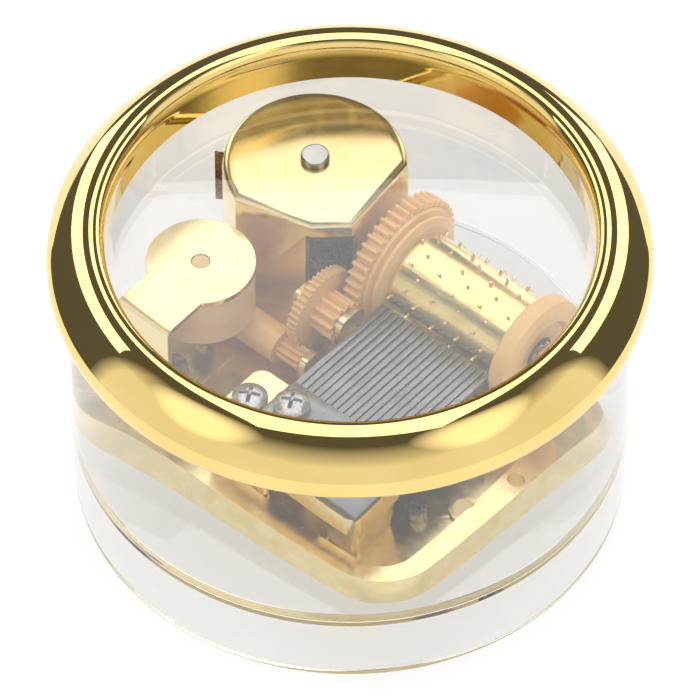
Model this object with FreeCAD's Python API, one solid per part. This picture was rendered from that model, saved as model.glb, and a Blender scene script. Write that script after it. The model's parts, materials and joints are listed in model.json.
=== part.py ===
"""Round wind-up music box: clear two-part case, gold bead ring and an 18-note movement.

Millimetres, +Z up.  The origin is the middle of the underside of the case.
The movement is drawn along its own axes (its cylinder runs along +X, its comb teeth along +Y)
and is turned about Z as a whole when it is placed in the case.
"""
import FreeCAD, Part
import math
import os

V = FreeCAD.Vector
X_AXIS, Y_AXIS, Z_AXIS = V(1, 0, 0), V(0, 1, 0), V(0, 0, 1)

# ---------------------------------------------------------------- case
BASE_SETBACK = 0.1          # the hollow plinth is this much smaller in radius than the cover
BASE_HEIGHT = 9.3           # underside to the shoulder that the cover stands on
BASE_WALL = 1.9
FLOOR_THICKNESS = 2.2
FLOOR_STEP = 1.2            # how far the floor stands up inside the cover
COVER_RADIUS = 33.6
COVER_WALL = 2.1
COVER_HEIGHT = 27.7         # shoulder to the outside of the flat top
WINDOW_THICKNESS = 1.8
CASE_FIT = 0.1              # gap between parts of the case that slip together
EDGE_ROUND = 0.5            # moulded edges of the clear parts

# ---------------------------------------------------------------- gold ring
RING_OVERHANG = 2.4         # how far the ring stands out beyond the cover
RING_SKIRT = 0.7            # how far it hangs down over the cover
RING_BAND = 1.8             # straight band above the skirt seat, before the bead starts
RING_RISE = 6.2             # bead top above the cover's flat top
RING_REACH = 4.6            # how far it comes in over the flat top

# ---------------------------------------------------------------- bed plate
TURN = -40.8                # how the movement is turned in the case, degrees
PLATE_LEFT, PLATE_RIGHT = -26.0, 24.4
PLATE_FRONT, PLATE_BACK = -21.4, 19.6
PLATE_CORNER = 7.0
PLATE_HEIGHT = 4.0
PAN_DEPTH = 2.0             # the plate is dished this deep inside its rim
RIM_WIDTH = 2.8
POST_WIDTH = 4.2
POST_THICKNESS = 0.9

# ---------------------------------------------------------------- winding side
BARREL_X, BARREL_Y = -15.9, 12.0
BARREL_RADIUS = 11.2
BARREL_WALL = 0.8
BARREL_HEIGHT = 17.6        # above the rim of the plate
BARREL_EDGE = 1.25
SEAT_LEDGE = 0.1            # seat on the plate, outside the barrel
FLATS = ((-74.7, 9.4), (-47.2, 10.2), (5.7, 9.4))   # direction and distance of each flat
WINDOW_LEFT = 5.6           # the corner of the barrel is cut away from here, beside the train
WINDOW_BAND = 2.6           # wall left above that window
ARBOR_RADIUS = 1.5
ARBOR_HEAD_RADIUS = 1.75
ARBOR_HEAD_HEIGHT = 0.9
SPRING_THICKNESS = 0.3
SPRING_WIDTH = 8.4
SPRING_PITCH = 0.75
SPRING_TURNS = 7
SPRING_TOP_GAP = 0.6        # below the inside of the barrel top
SPRING_TAIL = 1.1           # how far its hooked end stands out of the barrel
SPRING_TAIL_AT = 209.0      # direction of the slot it leaves by
KEY_HALF_WIDTH = 9.2
KEY_THICKNESS = 2.0
KEY_HEIGHT = 5.6
KEY_HUB_RADIUS = 3.3
KEY_GROUND_GAP = 1.2        # under the key, so that the case stands on its rim
DRIVE_TEETH = 54
DRIVE_REACH = 11.2
DRIVE_TOOTH = 0.30
DRIVE_THICKNESS = 0.95
DRIVE_HUB_RADIUS = 3.3
DRIVE_SIDE_GAP = 0.4        # round the wheel in its pocket under the plate
DRIVE_ROOF_GAP = 0.25
FLOOR_GAP = 0.4             # between the floor and the drive wheel
CLUTCH_WALL = 0.45

# ---------------------------------------------------------------- cylinder
AXIS_Y = 13.8
AXIS_RISE = 6.0             # axis above the rim of the plate
CYLINDER_RADIUS = 5.7
CYLINDER_WALL = 0.7
CYLINDER_LEFT, CYLINDER_RIGHT = -1.3, 15.9
PIN_RADIUS = 0.22
PIN_HEIGHT = 0.55
PIN_FIT = 0.02
PINS_PER_NOTE = 5
NOTES = 18
MODULE = 0.4                # coarse teeth: cylinder gear and its pinion
GEAR_TEETH = 44
GEAR_LEFT = -5.3
GEAR_FACE = 2.3             # length of the teeth
CAP_RADIUS = 7.25
CAP_WIDTH = 2.8
ROD_RADIUS = 0.9

# ---------------------------------------------------------------- train
PINION_TEETH = 12
PINION_FACE = 3.2
SECOND_TEETH = 42
FINE_MODULE = 0.25          # fine teeth: second wheel and the next pinion
SECOND_THICKNESS = 1.4
SECOND_DROP = 0.5           # second arbor below the cylinder's axis
THIRD_PINION_TEETH = 10
THIRD_PINION_FACE = 3.4
THIRD_HUB_RADIUS = 2.3
THIRD_Y = -2.5
WORM_WHEEL_TEETH = 18
WORM_PITCH = 1.0
WORM_WHEEL_THICKNESS = 1.2
THIRD_POST_WIDTH = 3.0
THIRD_POST_GAP = 0.4        # between the pinion and its post
FAR_POST_GAP = 1.4          # between the worm wheel and its post
MESH_GAP = 0.03             # added to each centre distance
PIVOT_RADIUS = 0.5
RUNNING_FIT = 0.05

# ---------------------------------------------------------------- governor
GOVERNOR_X, GOVERNOR_Y = -18.0, -6.5
GOVERNOR_TOP = 13.5         # top plate above the rim of the bed plate
GOVERNOR_DISC = 6.65
GOVERNOR_SHEET = 0.8
GOVERNOR_TAB = 8.0
GOVERNOR_FRONT = -17.6
CUP_RADIUS = 6.5
CUP_WALL = 0.7
CUP_HEIGHT = 7.0
FAN_RADIUS = 5.1
WORM_THREAD = 0.6           # how far the thread stands out of its core

# ---------------------------------------------------------------- comb
COMB_THICKNESS = 0.9
COMB_LIFT = 0.1             # top of the comb above the cylinder's axis
COMB_LEFT, COMB_RIGHT = -2.2, 16.4
COMB_FRONT = -18.0
COMB_ROOT = -8.6
COMB_GAP = 0.10             # tooth tips to the circle that the pins run on
TOOTH_SLOT = 0.22
BRIDGE_SLAB = 2.6
BRIDGE_LEFT = -6.4

# ---------------------------------------------------------------- screws
SCREW_RADIUS = 1.1
SCREW_HEAD_RADIUS = 2.2
SCREW_HEAD_HEIGHT = 1.4
SCREW_FIT = 0.03
HOLE_RADIUS = 1.35

# levels and places that follow from the sizes above
FLOOR_TOP = BASE_HEIGHT + FLOOR_STEP
FLOOR_UNDER = FLOOR_TOP - FLOOR_THICKNESS
COVER_TOP = BASE_HEIGHT + COVER_HEIGHT
COVER_INSIDE = COVER_RADIUS - COVER_WALL
BASE_RADIUS = COVER_RADIUS - BASE_SETBACK
RING_RADIUS = COVER_RADIUS + RING_OVERHANG
RING_MOUTH = COVER_RADIUS - RING_REACH
RING_TOP = COVER_TOP + RING_RISE
PLATE_TOP = FLOOR_TOP + PLATE_HEIGHT
PAN = PLATE_TOP - PAN_DEPTH
AXIS_Z = PLATE_TOP + AXIS_RISE
BARREL_TOP = PLATE_TOP + BARREL_HEIGHT
DRIVE_Z = FLOOR_TOP + FLOOR_GAP
PIN_CIRCLE = CYLINDER_RADIUS + PIN_HEIGHT
GEAR_RIGHT = GEAR_LEFT + GEAR_FACE
CAP_RIGHT = CYLINDER_RIGHT + CAP_WIDTH
GEAR_PITCH_RADIUS = MODULE * GEAR_TEETH / 2
SECOND_Z = AXIS_Z - SECOND_DROP
FIRST_DISTANCE = MODULE * (GEAR_TEETH + PINION_TEETH) / 2 + MESH_GAP
SECOND_Y = AXIS_Y - math.sqrt(FIRST_DISTANCE ** 2 - SECOND_DROP ** 2)
SECOND_LEFT = GEAR_LEFT - SECOND_THICKNESS - 1.0
SECOND_RIGHT = SECOND_LEFT + SECOND_THICKNESS
SECOND_POST = SECOND_RIGHT + PINION_FACE + 0.3
SECOND_DISTANCE = FINE_MODULE * (SECOND_TEETH + THIRD_PINION_TEETH) / 2 + MESH_GAP
THIRD_Z = SECOND_Z - math.sqrt(SECOND_DISTANCE ** 2 - (SECOND_Y - THIRD_Y) ** 2)
THIRD_PINION_RIGHT = SECOND_RIGHT + 1.2
THIRD_POST = THIRD_PINION_RIGHT + THIRD_POST_GAP
FAR_POST = GOVERNOR_X - WORM_WHEEL_THICKNESS / 2 - FAR_POST_GAP
WINDOW_REACH = FINE_MODULE * (SECOND_TEETH / 2 + 1) + 0.4
WORM_WHEEL_RADIUS = WORM_PITCH * WORM_WHEEL_TEETH / (2 * math.pi)
WORM_MODULE = WORM_PITCH / math.pi
WORM_RADIUS = THIRD_Y - GOVERNOR_Y - WORM_WHEEL_RADIUS - MESH_GAP
DRIVE_MESH = math.asin((AXIS_Y - BARREL_Y) / (DRIVE_REACH - 0.25))
GOVERNOR_Z = PLATE_TOP + GOVERNOR_TOP
CUP_TOP = GOVERNOR_Z - GOVERNOR_SHEET
COMB_TOP = AXIS_Z + COMB_LIFT
COMB_UNDER = COMB_TOP - COMB_THICKNESS
COMB_TIP = AXIS_Y - math.sqrt((PIN_CIRCLE + COMB_GAP) ** 2 - (AXIS_Z - COMB_UNDER) ** 2)
CASE_SCREWS = ((16.9, -7.8), (-9.5, -15.6), (8.0, 18.0))
COMB_SCREWS = ((1.0, -11.8), (12.0, -12.6))
BRIDGE_SCREW = (-3.9, -13.8)
GOVERNOR_SCREW = (-17.8, -12.6)
COLLAR_HOLE, RIM_HOLE = (20.5, -3.7), (23.0, 2.4)
PEGS = ((-1.4, -23.2), (26.2, -6.0))
PEG_RADIUS = 1.3
PEG_HEIGHT = 1.6


# ---------------------------------------------------------------- drawing helpers
def turned(points):
    """Solid of revolution about Z of a closed outline of (radius, height) points."""
    wire = Part.makePolygon([V(r, 0, z) for r, z in points + points[:1]])
    return Part.Face(wire).revolve(V(0, 0, 0), Z_AXIS, 360)


def rod(x, y, z, radius, height):
    return Part.makeCylinder(radius, height, V(x, y, z))


def axle(x0, x1, y, z, radius):
    """Cylinder along +X from x0 to x1."""
    return Part.makeCylinder(radius, x1 - x0, V(x0, y, z), X_AXIS)


def block(x0, x1, y0, y1, z0, z1):
    return Part.makeBox(x1 - x0, y1 - y0, z1 - z0, V(x0, y0, z0))


def rounded_plate(x0, x1, y0, y1, z0, z1, corner):
    """Box with its four upright edges rounded."""
    body = block(x0, x1, y0, y1, z0, z1)
    upright = [e for e in body.Edges if abs(e.tangentAt(e.FirstParameter).z) > 0.99]
    return body.makeFillet(corner, upright)


def gear_outline(teeth, module, first, backlash=0.10):
    """Points of an involute spur gear; a tooth is centred at the angle `first` (radians)."""
    pitch = module * teeth / 2
    base = pitch * math.cos(math.radians(20))
    tip, root = pitch + 0.85 * module, pitch - 1.15 * module
    half = math.pi / (2 * teeth) - backlash * module / pitch
    flare = math.tan(math.radians(20)) - math.radians(20)

    def half_angle(radius):
        roll = math.acos(min(1.0, base / max(radius, base)))
        return half + flare - (math.tan(roll) - roll)

    radii = [root, max(base, root), (max(base, root) + pitch) / 2, pitch, (pitch + tip) / 2, tip]
    radii = [r for i, r in enumerate(radii) if i == 0 or r - radii[i - 1] > 1e-4]
    points = []
    for tooth in range(teeth):
        centre = first + 2 * math.pi * tooth / teeth
        points += [(r, centre - half_angle(r)) for r in radii]
        points += [(r, centre + half_angle(r)) for r in reversed(radii)]
    return points


def gear(teeth, module, first, x0, x1, y, z, bore):
    """Spur gear on an axis along +X; angles run from +Y towards +Z."""
    corners = [V(x0, y + r * math.cos(a), z + r * math.sin(a))
               for r, a in gear_outline(teeth, module, first)]
    rim = Part.makePolygon(corners + corners[:1])
    hole = Part.Wire(Part.makeCircle(bore, V(x0, y, z), X_AXIS))
    return Part.makeFace([rim, hole], "Part::FaceMakerBullseye").extrude(V(x1 - x0, 0, 0))


def meshing(first, teeth, towards, other_teeth):
    """Angle of a tooth on the second gear of a pair, so that it sits in a gap of the first."""
    step, other_step = 2 * math.pi / teeth, 2 * math.pi / other_teeth
    return towards + math.pi - other_step * ((first - towards) / step + 0.5)


def screw(x, y, seat, length, up=1):
    """Pan-head cross-recess screw with its head above (up=1) or below (up=-1) its seat."""
    shank = Part.makeCylinder(SCREW_RADIUS, length, V(x, y, seat), V(0, 0, -up))
    head = Part.makeCylinder(SCREW_HEAD_RADIUS, SCREW_HEAD_HEIGHT, V(x, y, seat), V(0, 0, up))
    crown = seat + up * SCREW_HEAD_HEIGHT
    head = head.makeFillet(0.5, [e for e in head.Edges
                                 if abs(e.BoundBox.Center.z - crown) < 1e-3 and e.Closed])
    slot, depth = SCREW_HEAD_RADIUS * 0.62, 0.8
    low = min(crown, crown - up * depth)
    cross = block(x - slot, x + slot, y - 0.28, y + 0.28, low, low + depth)
    cross = cross.fuse(block(x - 0.28, x + 0.28, y - slot, y + slot, low, low + depth))
    return shank.fuse(head).removeSplitter().cut(cross)


def export(name, shape, placed=True):
    """Write one sub-part; movement pieces are turned into their place in the case."""
    shape = shape.copy()
    if placed:
        shape.rotate(V(0, 0, 0), Z_AXIS, TURN)
    if not shape.isValid():
        raise SystemExit("not a valid solid: " + name)
    shape.exportStep("parts/" + name + ".step")
    print(f"{name:18s} {len(shape.Solids):3d} solid(s) {shape.Volume:10.2f} mm3")


# ---------------------------------------------------------------- case
def case_base():
    """Hollow plinth with a raised floor, locating pegs and the holes for arbor and screws."""
    inner = BASE_RADIUS - BASE_WALL
    spigot = COVER_INSIDE - CASE_FIT
    body = turned([(0, FLOOR_UNDER), (inner, FLOOR_UNDER), (inner, 0), (BASE_RADIUS - EDGE_ROUND, 0),
                   (BASE_RADIUS, EDGE_ROUND), (BASE_RADIUS, BASE_HEIGHT - EDGE_ROUND),
                   (BASE_RADIUS - EDGE_ROUND, BASE_HEIGHT), (spigot, BASE_HEIGHT),
                   (spigot, FLOOR_TOP), (0, FLOOR_TOP)])
    body.rotate(V(0, 0, 0), Z_AXIS, -TURN)
    for x, y in PEGS:
        body = body.fuse(rod(x, y, FLOOR_TOP - 0.5, PEG_RADIUS, PEG_HEIGHT + 0.5))
    holes = [rod(BARREL_X, BARREL_Y, 0, ARBOR_RADIUS + 0.3, FLOOR_TOP + 1)]
    holes += [rod(x, y, 0, SCREW_RADIUS + SCREW_FIT, FLOOR_TOP + 1) for x, y in CASE_SCREWS]
    return body.cut(holes)


def clear_cover():
    """Upturned clear cup: the wall of the drum and the flat window in one moulding."""
    return turned([(0, COVER_TOP - WINDOW_THICKNESS), (COVER_INSIDE, COVER_TOP - WINDOW_THICKNESS),
                   (COVER_INSIDE, BASE_HEIGHT), (COVER_RADIUS - EDGE_ROUND, BASE_HEIGHT),
                   (COVER_RADIUS, BASE_HEIGHT + EDGE_ROUND), (COVER_RADIUS, COVER_TOP),
                   (0, COVER_TOP)])


def gold_ring():
    """Bead ring that caps the cover's corner; its section is one smooth convex curve."""
    seat = COVER_RADIUS + CASE_FIT
    low, shoulder = COVER_TOP - RING_SKIRT, COVER_TOP - RING_SKIRT + RING_BAND
    run, rise = RING_RADIUS - RING_MOUTH, RING_TOP - shoulder
    shape = ((0.0, 0.0), (0.036, 0.167), (0.121, 0.333), (0.25, 0.539), (0.40, 0.735),
             (0.557, 0.892), (0.686, 0.98), (0.786, 1.0), (0.864, 0.951), (0.907, 0.843))
    bead = Part.BSplineCurve()
    bead.interpolate([V(RING_RADIUS - run * a, 0, shoulder + rise * b) for a, b in shape])
    lip = bead.EndPoint
    corners = [lip, V(RING_MOUTH, 0, COVER_TOP), V(seat, 0, COVER_TOP), V(seat, 0, low),
               V(RING_RADIUS - EDGE_ROUND, 0, low), V(RING_RADIUS, 0, low + EDGE_ROUND),
               bead.StartPoint]
    wire = Part.Wire([bead.toShape()] + Part.makePolygon(corners).Edges)
    return Part.Face(wire).revolve(V(0, 0, 0), Z_AXIS, 360)


def case_screws():
    """Screws that come up through the floor into the bed plate."""
    return Part.makeCompound([screw(x, y, FLOOR_UNDER, FLOOR_THICKNESS + PLATE_HEIGHT - 0.8, -1)
                              for x, y in CASE_SCREWS])


# ---------------------------------------------------------------- bed plate and posts
def post(x0, x1, y, width, top, axis_z, bore):
    """Upright bearing lug with a rounded head, standing in the pan of the plate."""
    half = width / 2
    lug = block(x0, x1, y - half, y + half, PAN - 0.4, top)
    ends = [e for e in lug.Edges if abs(e.tangentAt(e.FirstParameter).x) > 0.99
            and e.BoundBox.Center.z > top - 1e-3]
    lug = lug.makeFillet(min(half, 2) * 0.6, ends)
    return lug.cut(axle(x0 - 1, x1 + 1, y, axis_z, bore))


def bed_plate():
    """Die-cast plate: raised rim, dished pan, barrel seat, bearing posts and pockets."""
    body = rounded_plate(PLATE_LEFT, PLATE_RIGHT, PLATE_FRONT, PLATE_BACK, FLOOR_TOP, PLATE_TOP,
                         PLATE_CORNER)
    pan = rounded_plate(PLATE_LEFT + RIM_WIDTH, PLATE_RIGHT - RIM_WIDTH, PLATE_FRONT + RIM_WIDTH,
                        PLATE_BACK - RIM_WIDTH, PAN, PLATE_TOP + 1, PLATE_CORNER - RIM_WIDTH)
    seat = rod(BARREL_X, BARREL_Y, PAN, BARREL_RADIUS + SEAT_LEDGE, PAN_DEPTH)
    body = body.cut(pan).fuse(seat)
    pockets = [rod(BARREL_X, BARREL_Y, FLOOR_TOP - 1, DRIVE_REACH + DRIVE_SIDE_GAP,
                   DRIVE_Z + DRIVE_THICKNESS + DRIVE_ROOF_GAP - FLOOR_TOP + 1)]
    gear_reach = GEAR_PITCH_RADIUS + MODULE + 0.5
    pockets += [block(GEAR_LEFT - 0.5, CYLINDER_LEFT + 0.3, AXIS_Y - gear_reach * 0.8,
                      AXIS_Y + gear_reach, FLOOR_TOP - 1, PLATE_TOP + 1)]
    pockets += [block(CYLINDER_RIGHT - 0.5, CAP_RIGHT + 0.5, AXIS_Y - CAP_RADIUS,
                      PLATE_BACK + 1, PAN, PLATE_TOP + 1)]
    body = body.cut(pockets)
    posts = [post(SECOND_POST, SECOND_POST + POST_THICKNESS, SECOND_Y, POST_WIDTH,
                  SECOND_Z + 2.2, SECOND_Z, PIVOT_RADIUS + RUNNING_FIT),
             post(SECOND_LEFT - 1.9, SECOND_LEFT - 1.0, SECOND_Y, POST_WIDTH,
                  SECOND_Z + 2.2, SECOND_Z, PIVOT_RADIUS + RUNNING_FIT),
             post(THIRD_POST, THIRD_POST + POST_THICKNESS, THIRD_Y, THIRD_POST_WIDTH,
                  THIRD_Z + 1.6, THIRD_Z, PIVOT_RADIUS + RUNNING_FIT),
             post(FAR_POST - POST_THICKNESS, FAR_POST, THIRD_Y, THIRD_POST_WIDTH,
                  THIRD_Z + 1.6, THIRD_Z, PIVOT_RADIUS + RUNNING_FIT),
             post(CAP_RIGHT + 1.0, CAP_RIGHT + 2.7, AXIS_Y, 5.2, AXIS_Z + 3.2, AXIS_Z,
                  ROD_RADIUS + RUNNING_FIT)]
    body = body.fuse(posts)
    holes = [rod(BARREL_X, BARREL_Y, 0, DRIVE_HUB_RADIUS + RUNNING_FIT, PLATE_TOP + 5)]
    holes += [rod(x, y, 0, SCREW_RADIUS + SCREW_FIT, PLATE_TOP + 1) for x, y in CASE_SCREWS]
    holes += [rod(x, y, FLOOR_TOP + 0.6, SCREW_RADIUS + SCREW_FIT, PLATE_TOP)
              for x, y in (BRIDGE_SCREW, GOVERNOR_SCREW)]
    holes += [rod(COLLAR_HOLE[0], COLLAR_HOLE[1], 0, HOLE_RADIUS, PLATE_TOP + 1),
              rod(RIM_HOLE[0], RIM_HOLE[1], 0, HOLE_RADIUS * 0.7, PLATE_TOP + 1)]
    holes += [rod(GOVERNOR_X, GOVERNOR_Y, FLOOR_TOP + 0.6, 1.0, PLATE_TOP)]
    collar = rod(COLLAR_HOLE[0], COLLAR_HOLE[1], PAN - 0.4, HOLE_RADIUS + 0.5, 0.8)
    return body.fuse(collar).cut(holes)


# ---------------------------------------------------------------- winding side
def barrel_section(radius, inset, z0, z1):
    """Round barrel with its flats, drawn `inset` inside its outline."""
    body = rod(BARREL_X, BARREL_Y, z0, radius - inset, z1 - z0)
    for direction, distance in FLATS:
        beyond = Part.makeBox(20, 40, z1 - z0 + 2, V(distance - inset, -20, z0 - 1))
        beyond.rotate(V(0, 0, 0), Z_AXIS, direction)
        beyond.translate(V(BARREL_X, BARREL_Y, 0))
        body = body.cut(beyond)
    return body


def spring_housing():
    """Drawn brass can over the mainspring, open below, with the slot for the spring's tail."""
    can = barrel_section(BARREL_RADIUS, 0, PLATE_TOP, BARREL_TOP)
    top = [e for e in can.Edges if abs(e.BoundBox.ZMin - BARREL_TOP) < 1e-3
           and abs(e.BoundBox.ZMax - BARREL_TOP) < 1e-3]
    can = can.makeFillet(BARREL_EDGE, top)
    can = can.cut(barrel_section(BARREL_RADIUS, BARREL_WALL, PLATE_TOP - 1, BARREL_TOP - BARREL_WALL))
    spring_low = BARREL_TOP - BARREL_WALL - SPRING_TOP_GAP - SPRING_WIDTH
    slot = block(BARREL_RADIUS - 2.5, BARREL_RADIUS + 2, -0.45, 0.45,
                 spring_low - 0.3, spring_low + SPRING_WIDTH + 0.3)
    slot.rotate(V(0, 0, 0), Z_AXIS, SPRING_TAIL_AT)
    slot.translate(V(BARREL_X, BARREL_Y, 0))
    window = block(BARREL_X + WINDOW_LEFT, BARREL_X + BARREL_RADIUS + 1, BARREL_Y - BARREL_RADIUS - 1,
                   SECOND_Y + WINDOW_REACH, PLATE_TOP - 1, BARREL_TOP - WINDOW_BAND)
    holes = [slot, window, rod(BARREL_X, BARREL_Y, 0, ARBOR_RADIUS + RUNNING_FIT, BARREL_TOP + 1),
             axle(GEAR_LEFT - 3, GEAR_LEFT, AXIS_Y, AXIS_Z, ROD_RADIUS + RUNNING_FIT)]
    return can.cut(holes)


def mainspring():
    """Flat coiled strip made of half-turn arcs, with its outer end led out of the housing."""
    low = BARREL_TOP - BARREL_WALL - SPRING_TOP_GAP - SPRING_WIDTH
    start = ARBOR_RADIUS + 0.35

    def arcs(offset):
        edges, left, right = [], -(start + offset), start + offset
        for half in range(2 * SPRING_TURNS):
            grow = SPRING_PITCH * (half + 1) / 2
            if half % 2 == 0:
                left = -(start + offset + grow)
                radius, sign = (right - left) / 2, 1
            else:
                right = start + offset + grow
                radius, sign = (right - left) / 2, -1
            middle = (left + right) / 2
            ends = [V(right, 0, low), V(left, 0, low)][::sign]
            edges.append(Part.Arc(ends[0], V(middle, sign * radius, low), ends[1]).toShape())
        return edges

    inner, outer = arcs(0.0), arcs(SPRING_THICKNESS)
    first = Part.LineSegment(inner[0].valueAt(inner[0].FirstParameter),
                             outer[0].valueAt(outer[0].FirstParameter)).toShape()
    finish = start + SPRING_PITCH * SPRING_TURNS
    last = Part.LineSegment(V(finish, 0, low), V(finish + SPRING_THICKNESS, 0, low)).toShape()
    wire = Part.Wire(Part.__sortEdges__(inner + outer + [first, last]))
    coil = Part.Face(wire).extrude(V(0, 0, SPRING_WIDTH))
    tail = block(finish, BARREL_RADIUS + SPRING_TAIL, 0, SPRING_THICKNESS, low, low + SPRING_WIDTH)
    hook = block(finish, finish + SPRING_THICKNESS, -0.2, SPRING_THICKNESS, low, low + SPRING_WIDTH)
    spring = coil.fuse([tail, hook]).removeSplitter()
    spring.rotate(V(0, 0, 0), Z_AXIS, SPRING_TAIL_AT)
    spring.translate(V(BARREL_X, BARREL_Y, 0))
    return spring


def winding_arbor():
    """Steel arbor from the key to its riveted head on top of the housing."""
    low = KEY_GROUND_GAP + 1.4
    body = rod(BARREL_X, BARREL_Y, low, ARBOR_RADIUS, BARREL_TOP + 0.1 - low)
    head = rod(BARREL_X, BARREL_Y, BARREL_TOP + RUNNING_FIT, ARBOR_HEAD_RADIUS, ARBOR_HEAD_HEIGHT)
    crown = [e for e in head.Edges if e.BoundBox.ZMin > BARREL_TOP + ARBOR_HEAD_HEIGHT / 2
             and e.Closed]
    head = head.makeFillet(0.35, crown)
    hook = block(BARREL_X, BARREL_X + ARBOR_RADIUS + 0.25, BARREL_Y - 0.4, BARREL_Y + 0.4,
                 BARREL_TOP - 8, BARREL_TOP - 5)
    return body.fuse([head, hook])


def winding_key():
    """Two-winged key on a threaded hub, hidden in the plinth."""
    bore = ARBOR_RADIUS + SCREW_FIT
    hub_top = FLOOR_UNDER - 0.3
    hub = rod(BARREL_X, BARREL_Y, KEY_GROUND_GAP, KEY_HUB_RADIUS, hub_top - KEY_GROUND_GAP)
    wings = block(-KEY_HALF_WIDTH, KEY_HALF_WIDTH, -KEY_THICKNESS / 2, KEY_THICKNESS / 2,
                  KEY_GROUND_GAP, KEY_GROUND_GAP + KEY_HEIGHT)
    ends = [e for e in wings.Edges if abs(e.tangentAt(e.FirstParameter).y) > 0.99]
    wings = wings.makeFillet(1.6, ends)
    wings.translate(V(BARREL_X, BARREL_Y, 0))
    low = KEY_GROUND_GAP + 1.4
    return hub.fuse(wings).cut(rod(BARREL_X, BARREL_Y, low, bore, FLOOR_TOP))


def drive_wheel():
    """Flat wheel under the plate; its narrow teeth reach under the cylinder gear."""
    bore = ARBOR_RADIUS + RUNNING_FIT
    root = DRIVE_REACH - 1.0
    points = []
    for tooth in range(DRIVE_TEETH):
        centre = DRIVE_MESH + 2 * math.pi * tooth / DRIVE_TEETH
        for radius, width, side in ((root, 1.9, -1), (DRIVE_REACH, 1.0, -1),
                                    (DRIVE_REACH, 1.0, 1), (root, 1.9, 1)):
            turn = centre + side * width * DRIVE_TOOTH / 2 / radius
            points.append(V(BARREL_X + radius * math.cos(turn),
                            BARREL_Y + radius * math.sin(turn), DRIVE_Z))
    rim = Part.makePolygon(points + points[:1])
    disc = Part.Face(rim).extrude(V(0, 0, DRIVE_THICKNESS))
    hub = rod(BARREL_X, BARREL_Y, DRIVE_Z, DRIVE_HUB_RADIUS, PLATE_TOP + 1.2 - DRIVE_Z)
    lightening = [rod(BARREL_X + 6.6 * math.cos(a), BARREL_Y + 6.6 * math.sin(a), DRIVE_Z - 1,
                      1.6, 4) for a in [math.pi * k / 3 for k in range(6)]]
    return disc.fuse(hub).cut(lightening + [rod(BARREL_X, BARREL_Y, 0, bore, PLATE_TOP + 5)])


def clutch_collar():
    """Collar pressed on the arbor; the wrap spring joins it to the drive wheel one way."""
    low = PLATE_TOP + 1.3
    return rod(BARREL_X, BARREL_Y, low, DRIVE_HUB_RADIUS, 1.5).cut(
        rod(BARREL_X, BARREL_Y, low - 1, ARBOR_RADIUS, 4))


def clutch_spring():
    """Wrap spring of the one-way clutch, closed coils round the hub and the collar."""
    inner = DRIVE_HUB_RADIUS + RUNNING_FIT
    low, coils, wire = PLATE_TOP + 0.15, 5, CLUTCH_WALL
    outline = [(inner, low)]
    for coil in range(coils):
        base = low + coil * wire
        outline += [(inner + wire * 0.7, base), (inner + wire, base + wire * 0.3),
                    (inner + wire, base + wire * 0.7), (inner + wire * 0.7, base + wire)]
    ring = turned(outline + [(inner, low + coils * wire)])
    ring.translate(V(BARREL_X, BARREL_Y, 0))
    return ring


# ---------------------------------------------------------------- cylinder
def pin_places():
    """Place along the cylinder and angle of every pin, spread evenly but not in rows."""
    pitch = (CYLINDER_RIGHT - CYLINDER_LEFT) / NOTES
    turn, places = 0.0, []
    for note in range(NOTES):
        for _ in range(PINS_PER_NOTE):
            turn += 222.5
            places.append((CYLINDER_LEFT + pitch * (note + 0.5), math.radians(turn % 360)))
    return places


def pin_solids(radius, low, high):
    pins = []
    for x, turn in pin_places():
        out = V(0, math.cos(turn), math.sin(turn))
        pins.append(Part.makeCylinder(radius, high - low, V(x, AXIS_Y, AXIS_Z) + out * low, out))
    return pins


def cylinder_tube():
    """Thin gold tube, drilled for its pins."""
    tube = axle(CYLINDER_LEFT, CYLINDER_RIGHT, AXIS_Y, AXIS_Z, CYLINDER_RADIUS)
    bore = axle(CYLINDER_LEFT - 1, CYLINDER_RIGHT + 1, AXIS_Y, AXIS_Z,
                CYLINDER_RADIUS - CYLINDER_WALL)
    return tube.cut(bore).cut(pin_solids(PIN_RADIUS + PIN_FIT, CYLINDER_RADIUS - 2,
                                         CYLINDER_RADIUS + 2))


def cylinder_pins():
    return Part.makeCompound(pin_solids(PIN_RADIUS, CYLINDER_RADIUS - CYLINDER_WALL,
                                        PIN_CIRCLE))


def collar_about_x(points, y, z):
    """Solid of revolution about an axis along +X from (x, radius) points."""
    shape = turned([(r, x) for x, r in points])
    shape.rotate(V(0, 0, 0), Y_AXIS, 90)
    shape.translate(V(0, y, z))
    return shape


def cylinder_gear():
    """Moulded gear with stepped shoulders and a spigot that carries the tube."""
    first = -math.pi / 2 + math.pi / GEAR_TEETH
    bore = ROD_RADIUS + SCREW_FIT
    spigot = CYLINDER_RADIUS - CYLINDER_WALL - RUNNING_FIT
    teeth = gear(GEAR_TEETH, MODULE, first, GEAR_LEFT, GEAR_RIGHT, AXIS_Y, AXIS_Z, bore)
    back = GEAR_RIGHT
    rings = collar_about_x([(back, bore), (back, 8.2), (back + 0.5, 8.2), (back + 0.6, 7.2),
                            (back + 0.85, 7.2), (back + 0.95, 7.6), (back + 1.3, 7.5),
                            (CYLINDER_LEFT, 6.5), (CYLINDER_LEFT, spigot),
                            (CYLINDER_LEFT + 2.0, spigot), (CYLINDER_LEFT + 2.0, bore)],
                           AXIS_Y, AXIS_Z)
    return teeth.fuse(rings)


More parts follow.
